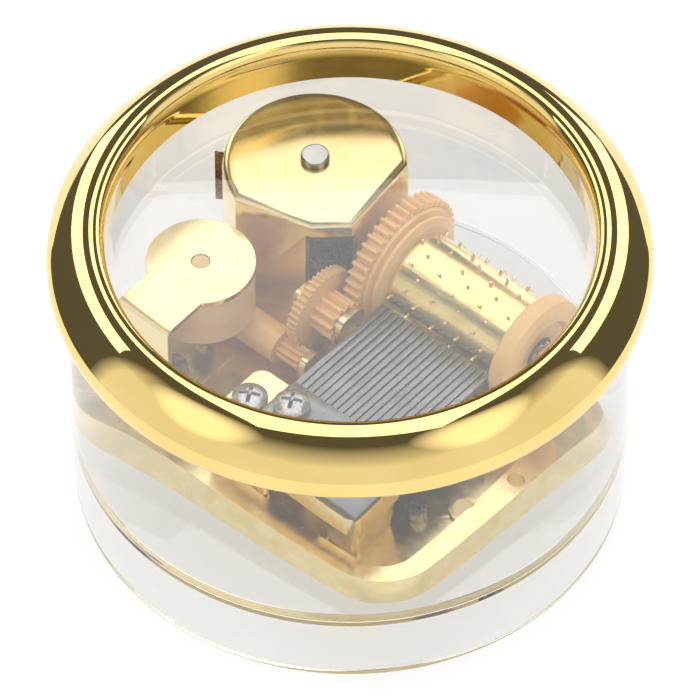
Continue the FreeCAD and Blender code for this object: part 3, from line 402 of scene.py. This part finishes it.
def base():
    """Clear plinth with its raised floor."""
    outer, shoulder = base_high.x, cover_low.z
    top = shoulder + FLOOR_STEP
    spigot = cover_high.x - WALL - CASE_FIT
    inner = outer - PLINTH_WALL
    outline = [(0, top - FLOOR), (inner, top - FLOOR), (inner, 0), (outer, 0),
               (outer, shoulder), (spigot, shoulder), (spigot, top), (0, top)]
    item = mesh_object("clear_plinth", lathe("clear_plinth", rounded(outline, EDGE_ROUND)))
    seamed(stands_for(item, "case_base", CLEAR), shoulder)


# ------------------------------------------------------------------ grown pieces
def growth(name, inputs):
    """Empty Geometry Nodes tree with named inputs, and its input node."""
    tree = bpy.data.node_groups.new(name, "GeometryNodeTree")
    tree.interface.new_socket("Geometry", in_out="OUTPUT", socket_type="NodeSocketGeometry")
    tree.interface.new_socket("Geometry", in_out="INPUT", socket_type="NodeSocketGeometry")
    for label, kind in inputs:
        tree.interface.new_socket(label, in_out="INPUT", socket_type="NodeSocket" + kind)
    return tree, add(tree, "NodeGroupInput").outputs


def harvested(tree, shape, material):
    """End of every tree: instances made real, with their finish."""
    real = add(tree, "GeometryNodeRealizeInstances", {"Geometry": shape})
    coat = add(tree, "GeometryNodeSetMaterial", {"Geometry": real.outputs[0],
                                                 "Material": material})
    add(tree, "NodeGroupOutput", {"Geometry": coat.outputs[0]})


def grown(name, start, steps, node, material, bevel=0.0, sharp=32.0):
    """Run trees once on a start mesh in the movement's own millimetres, then place it."""
    item = mesh_object(name, start)
    for tree, values in steps:
        step = item.modifiers.new(tree.name, "NODES")
        step.node_group = tree
        for socket in tree.interface.items_tree:
            if socket.in_out == "INPUT" and socket.name in values:
                step[socket.identifier] = values[socket.name]
    if bevel:
        soften = item.modifiers.new("softened_edges", "BEVEL")
        soften.width = bevel
        soften.segments = 2
        soften.angle_limit = math.radians(35)
    graph = bpy.context.evaluated_depsgraph_get()
    mesh = bpy.data.meshes.new_from_object(item.evaluated_get(graph), depsgraph=graph)
    item.modifiers.clear()
    mesh.transform(Matrix.Rotation(TURN, 4, "Z") @ Matrix.Scale(MM, 4))
    item.data = mesh
    return stands_for(item, node, material, sharp)


def points_mesh(name, places):
    mesh = bpy.data.meshes.new(name)
    mesh.from_pydata(places, [], [])
    return mesh


def pins_tree():
    """Pins spread round the tube: each stands a fixed turn and part of a track after the last."""
    tree, given = growth("cylinder_pins", (("Count", "Int"), ("Per Track", "Int"),
                                           ("Pitch", "Float"), ("Left", "Float"),
                                           ("Turn", "Float"), ("Inside", "Float"),
                                           ("Outside", "Float"), ("Pin Radius", "Float"),
                                           ("Axis Y", "Float"), ("Axis Z", "Float")))
    index = add(tree, "GeometryNodeInputIndex").outputs[0]
    track = add(tree, "ShaderNodeMath", {0: index, 1: given["Per Track"]}, operation="DIVIDE")
    whole = add(tree, "ShaderNodeMath", {0: track.outputs[0]}, operation="FLOOR")
    middle = add(tree, "ShaderNodeMath", {0: whole.outputs[0], 1: 0.5}, operation="ADD")
    along = add(tree, "ShaderNodeMath", {0: middle.outputs[0], 1: given["Pitch"],
                                         2: given["Left"]}, operation="MULTIPLY_ADD")
    after = add(tree, "ShaderNodeMath", {0: index, 1: 1.0}, operation="ADD")
    turn = add(tree, "ShaderNodeMath", {0: after.outputs[0], 1: given["Turn"]},
               operation="MULTIPLY")
    cosine = add(tree, "ShaderNodeMath", {0: turn.outputs[0]}, operation="COSINE")
    sine = add(tree, "ShaderNodeMath", {0: turn.outputs[0]}, operation="SINE")
    out_y = add(tree, "ShaderNodeMath", {0: cosine.outputs[0], 1: given["Inside"],
                                         2: given["Axis Y"]}, operation="MULTIPLY_ADD")
    out_z = add(tree, "ShaderNodeMath", {0: sine.outputs[0], 1: given["Inside"],
                                         2: given["Axis Z"]}, operation="MULTIPLY_ADD")
    place = add(tree, "ShaderNodeCombineXYZ", {0: along.outputs[0], 1: out_y.outputs[0],
                                               2: out_z.outputs[0]})
    points = add(tree, "GeometryNodePoints", {"Count": given["Count"],
                                              "Position": place.outputs[0]})
    length = add(tree, "ShaderNodeMath", {0: given["Outside"], 1: given["Inside"]},
                 operation="SUBTRACT")
    half = add(tree, "ShaderNodeMath", {0: length.outputs[0], 1: 0.5}, operation="MULTIPLY")
    pin = add(tree, "GeometryNodeMeshCylinder", {"Vertices": 12, "Radius": given["Pin Radius"],
                                                 "Depth": length.outputs[0]})
    middle_up = add(tree, "ShaderNodeCombineXYZ", {2: half.outputs[0]})
    raised = add(tree, "GeometryNodeTransform", {"Geometry": pin.outputs["Mesh"],
                                                 "Translation": middle_up.outputs[0]})
    lean = add(tree, "ShaderNodeMath", {0: turn.outputs[0], 1: math.pi / 2},
               operation="SUBTRACT")
    tilt = add(tree, "ShaderNodeCombineXYZ", {0: lean.outputs[0]})
    placed = add(tree, "GeometryNodeInstanceOnPoints", {"Points": points.outputs[0],
                                                        "Instance": raised.outputs[0],
                                                        "Rotation": tilt.outputs[0]})
    harvested(tree, placed.outputs[0], PIN_STEEL_PAINTED_GOLD_REFLECTION)
    return tree


def comb_tree():
    """Comb: a drilled root with one tooth per note, all of one width."""
    tree, given = growth("comb_teeth", (("Count", "Int"), ("Pitch", "Float"), ("Slot", "Float"),
                                        ("Left", "Float"), ("Tip", "Float"), ("Root", "Float"),
                                        ("Top", "Float"), ("Thickness", "Float"),
                                        ("Sink", "Float"), ("Thinning", "Float"),
                                        ("Slab Width", "Float"), ("Slab Length", "Float"),
                                        ("Slab Across", "Float"), ("Slab Along", "Float"),
                                        ("Hole Radius", "Float"), ("Drill Length", "Float")))
    width = add(tree, "ShaderNodeMath", {0: given["Pitch"], 1: given["Slot"]},
                operation="SUBTRACT")
    inside = add(tree, "ShaderNodeMath", {0: given["Root"], 1: given["Sink"]},
                 operation="SUBTRACT")
    length = add(tree, "ShaderNodeMath", {0: given["Tip"], 1: inside.outputs[0]},
                 operation="SUBTRACT")
    deep = add(tree, "ShaderNodeMath", {0: given["Thickness"], 1: given["Thinning"]},
               operation="SUBTRACT")
    size = add(tree, "ShaderNodeCombineXYZ", {0: width.outputs[0], 1: length.outputs[0],
                                              2: deep.outputs[0]})
    tooth = add(tree, "GeometryNodeMeshCube", {"Size": size.outputs[0]})
    half_pitch = add(tree, "ShaderNodeMath", {0: given["Pitch"], 1: 0.5, 2: given["Left"]},
                     operation="MULTIPLY_ADD")
    middle = add(tree, "ShaderNodeMath", {0: length.outputs[0], 1: 0.5, 2: inside.outputs[0]},
                 operation="MULTIPLY_ADD")
    level = add(tree, "ShaderNodeMath", {0: given["Thickness"], 1: -0.5, 2: given["Top"]},
                operation="MULTIPLY_ADD")
    first = add(tree, "ShaderNodeCombineXYZ", {0: half_pitch.outputs[0], 1: middle.outputs[0],
                                               2: level.outputs[0]})
    step = add(tree, "ShaderNodeCombineXYZ", {0: given["Pitch"]})
    line = add(tree, "GeometryNodeMeshLine", {"Count": given["Count"],
                                              "Start Location": first.outputs[0],
                                              "Offset": step.outputs[0]})
    teeth = add(tree, "GeometryNodeInstanceOnPoints", {"Points": line.outputs[0],
                                                       "Instance": tooth.outputs[0]})
    drill = add(tree, "GeometryNodeMeshCylinder", {"Vertices": 48,
                                                   "Radius": given["Hole Radius"],
                                                   "Depth": given["Drill Length"]})
    holes = add(tree, "GeometryNodeInstanceOnPoints", {"Points": given["Geometry"],
                                                       "Instance": drill.outputs["Mesh"]})
    slab_size = add(tree, "ShaderNodeCombineXYZ", {0: given["Slab Width"],
                                                   1: given["Slab Length"],
                                                   2: given["Thickness"]})
    slab = add(tree, "GeometryNodeMeshCube", {"Size": slab_size.outputs[0]})
    slab_place = add(tree, "ShaderNodeCombineXYZ", {0: given["Slab Across"],
                                                    1: given["Slab Along"],
                                                    2: level.outputs[0]})
    root = add(tree, "GeometryNodeTransform", {"Geometry": slab.outputs[0],
                                               "Translation": slab_place.outputs[0]})
    drilled = add(tree, "GeometryNodeMeshBoolean", {"Mesh 1": root.outputs[0],
                                                    "Mesh 2": holes.outputs[0]},
                  operation="DIFFERENCE")
    both = add(tree, "GeometryNodeJoinGeometry", {"Geometry": drilled.outputs[0]})
    tree.links.new(teeth.outputs[0], both.inputs[0])
    harvested(tree, both.outputs[0], COMB_STEEL)
    return tree


def screw_tree():
    """Pan-head screw with a cross recess on every given point, head towards +Z or -Z."""
    tree, given = growth("cross_recess_screws", (("Shank Radius", "Float"), ("Length", "Float"),
                                                 ("Head Radius", "Float"),
                                                 ("Head Height", "Float"),
                                                 ("Recess Width", "Float"),
                                                 ("Recess Depth", "Float"), ("Flip", "Float")))
    wide = add(tree, "ShaderNodeMath", {0: given["Head Radius"], 1: HEAD_SPREAD},
               operation="MULTIPLY")
    dome = add(tree, "GeometryNodeMeshUVSphere", {"Segments": 48, "Rings": 24, "Radius": 1.0})
    dome_size = add(tree, "ShaderNodeCombineXYZ", {0: wide.outputs[0], 1: wide.outputs[0],
                                                   2: given["Head Height"]})
    shaped = add(tree, "GeometryNodeTransform", {"Geometry": dome.outputs[0],
                                                 "Scale": dome_size.outputs[0]})
    rim = add(tree, "GeometryNodeMeshCylinder", {"Vertices": 48, "Radius": given["Head Radius"],
                                                 "Depth": given["Head Height"]})
    half = add(tree, "ShaderNodeMath", {0: given["Head Height"], 1: 0.5}, operation="MULTIPLY")
    up = add(tree, "ShaderNodeCombineXYZ", {2: half.outputs[0]})
    rim_up = add(tree, "GeometryNodeTransform", {"Geometry": rim.outputs["Mesh"],
                                                 "Translation": up.outputs[0]})
    pan = add(tree, "GeometryNodeMeshBoolean", {"Mesh 2": rim_up.outputs[0]},
              operation="INTERSECT")
    tree.links.new(shaped.outputs[0], pan.inputs["Mesh 2"])
    reach = add(tree, "ShaderNodeMath", {0: given["Head Radius"], 1: RECESS_SPREAD},
                operation="MULTIPLY")
    arm = add(tree, "ShaderNodeCombineXYZ", {0: reach.outputs[0], 1: given["Recess Width"],
                                             2: given["Recess Depth"]})
    arm_one = add(tree, "GeometryNodeMeshCube", {"Size": arm.outputs[0]})
    top = add(tree, "ShaderNodeCombineXYZ", {2: given["Head Height"]})
    arm_up = add(tree, "GeometryNodeTransform", {"Geometry": arm_one.outputs[0],
                                                 "Translation": top.outputs[0],
                                                 "Rotation": (0, 0, RECESS_TURN)})
    arm_two = add(tree, "GeometryNodeTransform", {
        "Geometry": arm_one.outputs[0], "Translation": top.outputs[0],
        "Rotation": (0, 0, RECESS_TURN + math.pi / 2)})
    recess = add(tree, "GeometryNodeMeshBoolean", {"Mesh 1": pan.outputs[0],
                                                   "Mesh 2": arm_up.outputs[0]},
                 operation="DIFFERENCE")
    tree.links.new(arm_two.outputs[0], recess.inputs["Mesh 2"])
    shank = add(tree, "GeometryNodeMeshCylinder", {"Vertices": 32,
                                                   "Radius": given["Shank Radius"],
                                                   "Depth": given["Length"]})
    down = add(tree, "ShaderNodeMath", {0: given["Length"], 1: -0.5, 2: SHANK_OVERLAP},
               operation="MULTIPLY_ADD")
    shank_place = add(tree, "ShaderNodeCombineXYZ", {2: down.outputs[0]})
    shank_down = add(tree, "GeometryNodeTransform", {"Geometry": shank.outputs["Mesh"],
                                                     "Translation": shank_place.outputs[0]})
    screw = add(tree, "GeometryNodeJoinGeometry", {"Geometry": recess.outputs[0]})
    tree.links.new(shank_down.outputs[0], screw.inputs[0])
    over = add(tree, "ShaderNodeCombineXYZ", {0: given["Flip"]})
    placed = add(tree, "GeometryNodeInstanceOnPoints", {"Points": given["Geometry"],
                                                        "Instance": screw.outputs[0],
                                                        "Rotation": over.outputs[0]})
    harvested(tree, placed.outputs[0], ZINC)
    return tree


def toothed_tree():
    """Toothed rim about an axis along +X, joined to the body that comes in."""
    tree, given = growth("toothed_rim", (("Teeth", "Int"), ("Module", "Float"),
                                         ("Face", "Float"), ("Bore", "Float"),
                                         ("First", "Float"), ("Middle", "Vector")))
    pitch = add(tree, "ShaderNodeMath", {0: given["Teeth"], 1: given["Module"]},
                operation="MULTIPLY")
    radius = add(tree, "ShaderNodeMath", {0: pitch.outputs[0], 1: 0.5}, operation="MULTIPLY")
    root = add(tree, "ShaderNodeMath", {0: given["Module"], 1: -DEDENDUM, 2: radius.outputs[0]},
               operation="MULTIPLY_ADD")
    total = add(tree, "ShaderNodeMath", {0: root.outputs[0], 1: given["Bore"]}, operation="ADD")
    centre = add(tree, "ShaderNodeMath", {0: total.outputs[0], 1: 0.5}, operation="MULTIPLY")
    web = add(tree, "ShaderNodeMath", {0: root.outputs[0], 1: given["Bore"]},
              operation="SUBTRACT")
    loop = add(tree, "GeometryNodeCurvePrimitiveCircle", {"Resolution": 132,
                                                          "Radius": centre.outputs[0]})
    section = add(tree, "GeometryNodeCurvePrimitiveQuadrilateral", {"Width": web.outputs[0],
                                                                    "Height": given["Face"]})
    disc = add(tree, "GeometryNodeCurveToMesh", {"Curve": loop.outputs[0],
                                                 "Profile Curve": section.outputs[0]})
    foot = add(tree, "ShaderNodeMath", {0: given["Module"], 1: TOOTH_FOOT},
               operation="MULTIPLY")
    crest = add(tree, "ShaderNodeMath", {0: given["Module"], 1: TOOTH_CREST},
                operation="MULTIPLY")
    tall = add(tree, "ShaderNodeMath", {0: given["Module"], 1: TOOTH_HEIGHT},
               operation="MULTIPLY")
    outline = add(tree, "GeometryNodeCurvePrimitiveQuadrilateral", {
        "Bottom Width": foot.outputs[0], "Top Width": crest.outputs[0],
        "Height": tall.outputs[0], "Offset": 0.0}, mode="TRAPEZOID")
    soft = add(tree, "ShaderNodeMath", {0: given["Module"], 1: TOOTH_ROUND},
               operation="MULTIPLY")
    softened = add(tree, "GeometryNodeFilletCurve", {"Curve": outline.outputs[0],
                                                     "Radius": soft.outputs[0], "Count": 3},
                   mode="POLY")
    flat = add(tree, "GeometryNodeFillCurve", {"Curve": softened.outputs[0]}, mode="NGONS")
    block = add(tree, "GeometryNodeExtrudeMesh", {"Mesh": flat.outputs[0],
                                                  "Offset Scale": given["Face"],
                                                  "Individual": False})
    under = add(tree, "GeometryNodeFlipFaces", {"Mesh": flat.outputs[0]})
    tooth = add(tree, "GeometryNodeJoinGeometry", {"Geometry": block.outputs[0]})
    tree.links.new(under.outputs[0], tooth.inputs[0])
    closed = add(tree, "GeometryNodeMergeByDistance", {"Geometry": tooth.outputs[0],
                                                       "Distance": 0.0005})
    half_face = add(tree, "ShaderNodeMath", {0: given["Face"], 1: -0.5}, operation="MULTIPLY")
    half_tall = add(tree, "ShaderNodeMath", {0: tall.outputs[0], 1: 0.5, 2: root.outputs[0]},
                    operation="MULTIPLY_ADD")
    sunk = add(tree, "ShaderNodeMath", {0: half_tall.outputs[0], 1: TOOTH_OVERLAP},
               operation="SUBTRACT")
    out = add(tree, "ShaderNodeCombineXYZ", {1: sunk.outputs[0], 2: half_face.outputs[0]})
    tooth_out = add(tree, "GeometryNodeTransform", {"Geometry": closed.outputs[0],
                                                    "Translation": out.outputs[0]})
    index = add(tree, "GeometryNodeInputIndex").outputs[0]
    step = add(tree, "ShaderNodeMath", {0: 2 * math.pi, 1: given["Teeth"]}, operation="DIVIDE")
    angle = add(tree, "ShaderNodeMath", {0: index, 1: step.outputs[0]}, operation="MULTIPLY")
    about = add(tree, "ShaderNodeCombineXYZ", {2: angle.outputs[0]})
    points = add(tree, "GeometryNodePoints", {"Count": given["Teeth"]})
    teeth = add(tree, "GeometryNodeInstanceOnPoints", {"Points": points.outputs[0],
                                                       "Instance": tooth_out.outputs[0],
                                                       "Rotation": about.outputs[0]})
    wheel = add(tree, "GeometryNodeJoinGeometry", {"Geometry": disc.outputs[0]})
    tree.links.new(teeth.outputs[0], wheel.inputs[0])
    upright = add(tree, "GeometryNodeTransform", {"Geometry": wheel.outputs[0],
                                                  "Rotation": (math.pi / 2, 0, math.pi / 2)})
    start = add(tree, "ShaderNodeMath", {0: given["First"], 1: math.pi / 2},
                operation="SUBTRACT")
    phase = add(tree, "ShaderNodeCombineXYZ", {0: start.outputs[0]})
    set_in = add(tree, "GeometryNodeTransform", {"Geometry": upright.outputs[0],
                                                 "Translation": given["Middle"],
                                                 "Rotation": phase.outputs[0]})
    all_of_it = add(tree, "GeometryNodeJoinGeometry", {"Geometry": given["Geometry"]})
    tree.links.new(set_in.outputs[0], all_of_it.inputs[0])
    harvested(tree, all_of_it.outputs[0], PEACH)
    return tree


def about_x(name, outline, y, z):
    """Body of revolution about an axis along +X from (x, radius) points, in millimetres."""
    mesh = lathe(name, rounded([(r, x) for x, r in outline], 0.08, steps=2), 128)
    mesh.transform(Matrix.Translation((0, y, z)) @ Matrix.Rotation(math.pi / 2, 4, "Y")
                   @ Matrix.Scale(1 / MM, 4))
    return mesh


# ------------------------------------------------------------------ movement
def refined(node, material, bevel=0.0, sharp=30.0):
    """Copy of a CAD node, merged, with softened edges and smooth curved faces."""
    source = frame["nodes"][node]
    shape = bmesh.new()
    shape.from_mesh(source.data)
    bmesh.ops.remove_doubles(shape, verts=shape.verts, dist=1e-7)
    bmesh.ops.dissolve_limit(shape, angle_limit=math.radians(1.0), verts=shape.verts,
                             edges=shape.edges)
    mesh = bpy.data.meshes.new(node + "_finished")
    shape.to_mesh(mesh)
    shape.free()
    mesh.shade_smooth()
    mesh.set_sharp_from_angle(angle=math.radians(sharp))
    mesh.materials.clear()
    mesh.materials.append(material)
    item = mesh_object(node + "_finished", mesh)
    if bevel:
        soften = item.modifiers.new("softened_edges", "BEVEL")
        soften.width = bevel * MM
        soften.segments = 2
        soften.angle_limit = math.radians(sharp)
        soften.harden_normals = True
    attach(item, source["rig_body"])
    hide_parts(node)


def pinned_cylinder():
    """Pins of the tune and the comb they pluck, on one pitch."""
    pitch = (TUBE_RIGHT - TUBE_LEFT) / NOTES
    grown("cylinder_pins_grown", points_mesh("pins", []), [(pins_tree(), {
        "Count": NOTES * PINS_PER_NOTE, "Per Track": PINS_PER_NOTE, "Pitch": pitch,
        "Left": TUBE_LEFT, "Turn": PIN_TURN, "Inside": TUBE_RADIUS - TUBE_WALL,
        "Outside": TUBE_RADIUS + PIN_HEIGHT, "Pin Radius": PIN_RADIUS, "Axis Y": AXIS_Y,
        "Axis Z": AXIS_Z})], "cylinder_pins", PIN_STEEL_PAINTED_GOLD_REFLECTION, bevel=0.06)
    grown("comb_grown", points_mesh("comb", COMB_SCREWS), [(comb_tree(), {
        "Count": NOTES, "Pitch": pitch, "Slot": COMB_SLOT, "Left": TUBE_LEFT, "Tip": COMB_TIP,
        "Root": COMB_ROOT, "Top": COMB_TOP, "Thickness": COMB_THICKNESS, "Sink": COMB_SINK,
        "Thinning": COMB_THINNING, "Slab Width": COMB_RIGHT - COMB_LEFT,
        "Slab Length": COMB_ROOT - COMB_FRONT, "Slab Across": (COMB_RIGHT + COMB_LEFT) / 2,
        "Slab Along": (COMB_ROOT + COMB_FRONT) / 2, "Hole Radius": SCREW_RADIUS + HOLE_PLAY,
        "Drill Length": DRILL_LENGTH})], "comb", COMB_STEEL, bevel=0.035)


def screws():
    """All the screws, each group with its own shank; the case screws hang from below."""
    tree = screw_tree()
    for node, places, length, flip in (("comb_screws", COMB_SCREWS, 4.2, 0.0),
                                       ("bridge_screw", BRIDGE_SCREW, 8.4, 0.0),
                                       ("governor_screw", GOVERNOR_SCREW, 1.9, 0.0),
                                       ("case_screws", CASE_SCREWS, 5.4, math.pi)):
        grown(node + "_grown", points_mesh(node, places), [(tree, {
            "Shank Radius": SCREW_RADIUS, "Length": length, "Head Radius": HEAD_RADIUS,
            "Head Height": HEAD_HEIGHT, "Recess Width": RECESS_WIDTH,
            "Recess Depth": RECESS_DEPTH, "Flip": flip})], node, ZINC, bevel=0.05, sharp=40)


def wheels():
    """Peach wheels of the train: their stepped bodies are turned, their teeth are grown."""
    tree = toothed_tree()
    first = -math.pi / 2 + math.pi / GEAR_TEETH
    back, spigot = GEAR_LEFT + GEAR_FACE, TUBE_RADIUS - TUBE_WALL - SPIGOT_PLAY
    outline = [(back + behind, radius) for behind, radius in GEAR_STEPS]
    outline += [(TUBE_LEFT, GEAR_NECK), (TUBE_LEFT, spigot), (TUBE_LEFT + SPIGOT_LENGTH, spigot),
                (TUBE_LEFT + SPIGOT_LENGTH, ROD_BORE)]
    body = about_x("gear_body", outline, AXIS_Y, AXIS_Z)
    grown("cylinder_gear_grown", body, [(tree, {
        "Teeth": GEAR_TEETH, "Module": MODULE, "Face": GEAR_FACE, "Bore": ROD_BORE,
        "First": first, "Middle": (GEAR_LEFT + GEAR_FACE / 2, AXIS_Y, AXIS_Z)})],
        "cylinder_gear", PEACH)

    apart = MODULE * (GEAR_TEETH + PINION_TEETH) / 2 + MESH_PLAY
    y, z = AXIS_Y - math.sqrt(apart ** 2 - SECOND_DROP ** 2), AXIS_Z - SECOND_DROP
    towards = math.atan2(z - AXIS_Z, y - AXIS_Y)
    turns = (first - towards) * GEAR_TEETH / (2 * math.pi) + 0.5
    right = SECOND_LEFT + SECOND_FACE
    boss = about_x("second_boss", [
        (SECOND_LEFT - BOSS_LEFT, PIVOT), (SECOND_LEFT - BOSS_LEFT, BOSS_RADIUS),
        (right + BOSS_RIGHT, BOSS_RADIUS), (right + BOSS_RIGHT, PIVOT)], y, z)
    grown("second_wheel_grown", boss, [(tree, {
        "Teeth": SECOND_TEETH, "Module": FINE_MODULE, "Face": SECOND_FACE, "Bore": PIVOT,
        "First": 0.0, "Middle": (SECOND_LEFT + SECOND_FACE / 2, y, z)}), (tree, {
            "Teeth": PINION_TEETH, "Module": MODULE, "Face": PINION_FACE, "Bore": PIVOT,
            "First": towards + math.pi - 2 * math.pi / PINION_TEETH * turns,
            "Middle": (right + PINION_FACE / 2, y, z)})], "second_wheel", PEACH)


gold_ring()
cover()
base()
pinned_cylinder()
screws()
wheels()
# pieces that keep their CAD shape: finish, and how far the edges are softened in millimetres
for node, material, bevel in (
        ("bed_plate", GOLD_CAST, 0.18), ("comb_bridge", GOLD_CAST, 0.15),
        ("spring_housing", GOLD_SHEET, 0.0), ("governor_frame", GOLD_SHEET, 0.08),
        ("cylinder_tube", GOLD_TUBE, 0.0), ("cylinder_cap", PEACH, 0.04),
        ("third_wheel", PEACH, 0.04), ("governor_cup", PEACH_CUP, 0.1),
        ("winding_arbor", BRIGHT_STEEL, 0.0), ("cylinder_rod", BRIGHT_STEEL, 0.0),
        ("second_arbor", BRIGHT_STEEL, 0.0), ("third_arbor", BRIGHT_STEEL, 0.0),
        ("worm", BRIGHT_STEEL, 0.0), ("winding_key", NICKEL, 0.1), ("fan", NYLON, 0.05),
        ("mainspring", SPRING_STEEL, 0.0), ("clutch_spring", SPRING_STEEL, 0.0),
        ("drive_wheel", BRASS, 0.0), ("clutch_collar", BRASS, 0.0)):
    refined(node, material, bevel)


# ------------------------------------------------------------------ studio
def card(name, centre, size, strength, along=(1, 0, 0), aim=(0, 0, 0.03)):
    """Rectangular softbox that faces the object, its first side laid out along a direction."""
    lamp = bpy.data.lights.new(name, "AREA")
    lamp.shape = "RECTANGLE"
    lamp.size, lamp.size_y = size
    lamp.energy = strength * size[0] * size[1] * math.pi
    item = bpy.data.objects.new(name, lamp)
    bpy.context.scene.collection.objects.link(item)
    back = (Vector(centre) - Vector(aim)).normalized()
    side = (Vector(along) - Vector(along).dot(back) * back).normalized()
    item.matrix_world = Matrix.Translation(centre) @ Matrix(
        (side, back.cross(side), back)).transposed().to_4x4()


def studio():
    floor_material, tree = blank_material("white_table")
    where = add(tree, "ShaderNodeTexCoord").outputs["Object"]
    cloud = add(tree, "ShaderNodeTexNoise", {"Vector": where, "Scale": 17.0})
    sheen = add(tree, "ShaderNodeMapRange", {"Value": cloud.outputs[0], "To Min": 0.6,
                                             "To Max": 0.7})
    matt = add(tree, "ShaderNodeBsdfPrincipled", {
        "Base Color": rgb("#aaaaaa"), "Roughness": sheen.outputs[0],
        "Emission Color": rgb("#ffffff"), "Emission Strength": 0.66})
    add(tree, "ShaderNodeOutputMaterial", {"Surface": matt.outputs[0]})
    bpy.ops.mesh.primitive_circle_add(vertices=96, radius=0.22, fill_type="NGON",
                                      location=(0, 0, -0.0002))
    floor = bpy.context.object
    floor.name = "white_table"
    floor.data.materials.append(floor_material)

    card("overhead_softbox", (0, 0.275, 1.0), (0.8, 1.35), 1.9, aim=(0, 0.275, 0))
    card("right_strip", (1.1, 0.95, 0.56), (2.1, 0.45), 2.0, along=(0, 0.91, -0.415))
    card("left_strip", (-1.1, 0.95, 0.56), (2.1, 0.45), 2.0, along=(0, 0.91, -0.415))

    # a dark room with a white screen low in front of the object, and a soft general fill
    world = bpy.data.worlds.new("studio_room")
    world.use_nodes = True
    bpy.context.scene.world = world
    tree = world.node_tree
    tree.nodes.clear()
    where = add(tree, "ShaderNodeTexCoord").outputs["Generated"]
    axes = add(tree, "ShaderNodeSeparateXYZ", {0: where})
    front = add(tree, "ShaderNodeMapRange", {"Value": axes.outputs[1], "From Min": 0.05,
                                             "From Max": -0.05})
    low = add(tree, "ShaderNodeMapRange", {"Value": axes.outputs[2], "From Min": 0.8,
                                           "From Max": 0.5})
    screen = add(tree, "ShaderNodeMath", {0: front.outputs[0], 1: low.outputs[0]},
                 operation="MULTIPLY")
    glow = add(tree, "ShaderNodeMapRange", {"Value": screen.outputs[0], "To Min": 0.11,
                                            "To Max": 0.95}).outputs[0]
    # and two round white reflectors, to the front right and the front left
    for side in ((0.577, -0.468, 0.669), (-0.675, -0.406, 0.616)):
        near = add(tree, "ShaderNodeVectorMath", {0: where, 1: side}, operation="DOT_PRODUCT")
        lobe = add(tree, "ShaderNodeMapRange", {"Value": near.outputs["Value"],
                                                "From Min": 0.93, "From Max": 0.985,
                                                "To Max": 1.4})
        glow = add(tree, "ShaderNodeMath", {0: glow, 1: lobe.outputs[0]},
                   operation="MAXIMUM").outputs[0]
    path = add(tree, "ShaderNodeLightPath")
    room = add(tree, "ShaderNodeBackground", {"Color": rgb("#ffffff"),
                                              "Strength": glow})
    fill = add(tree, "ShaderNodeBackground", {"Color": rgb("#ffffff"), "Strength": 0.6})
    seen = add(tree, "ShaderNodeBackground", {"Color": rgb("#ffffff"), "Strength": 1.0})
    soft = add(tree, "ShaderNodeMixShader", {0: path.outputs["Is Diffuse Ray"],
                                             1: room.outputs[0], 2: fill.outputs[0]})
    mix = add(tree, "ShaderNodeMixShader", {0: path.outputs["Is Camera Ray"],
                                            1: soft.outputs[0], 2: seen.outputs[0]})
    add(tree, "ShaderNodeOutputWorld", {"Surface": mix.outputs[0]})

    # a long lens, so that the round case is hardly drawn out by perspective
    camera = bpy.data.cameras.new("studio_camera")
    camera.lens, camera.sensor_width = 471.65, 36.0
    camera.clip_start, camera.clip_end = 0.01, 50
    eye = bpy.data.objects.new("studio_camera", camera)
    bpy.context.scene.collection.objects.link(eye)
    elevation, distance, aim_height = math.radians(50), 1.1, 0.0204
    eye.location = (0, -distance * math.cos(elevation),
                    aim_height + distance * math.sin(elevation))
    eye.rotation_euler = (math.radians(90) - elevation, 0, 0)
    bpy.context.scene.camera = eye
    bpy.context.scene.view_settings.view_transform = "Standard"


studio()
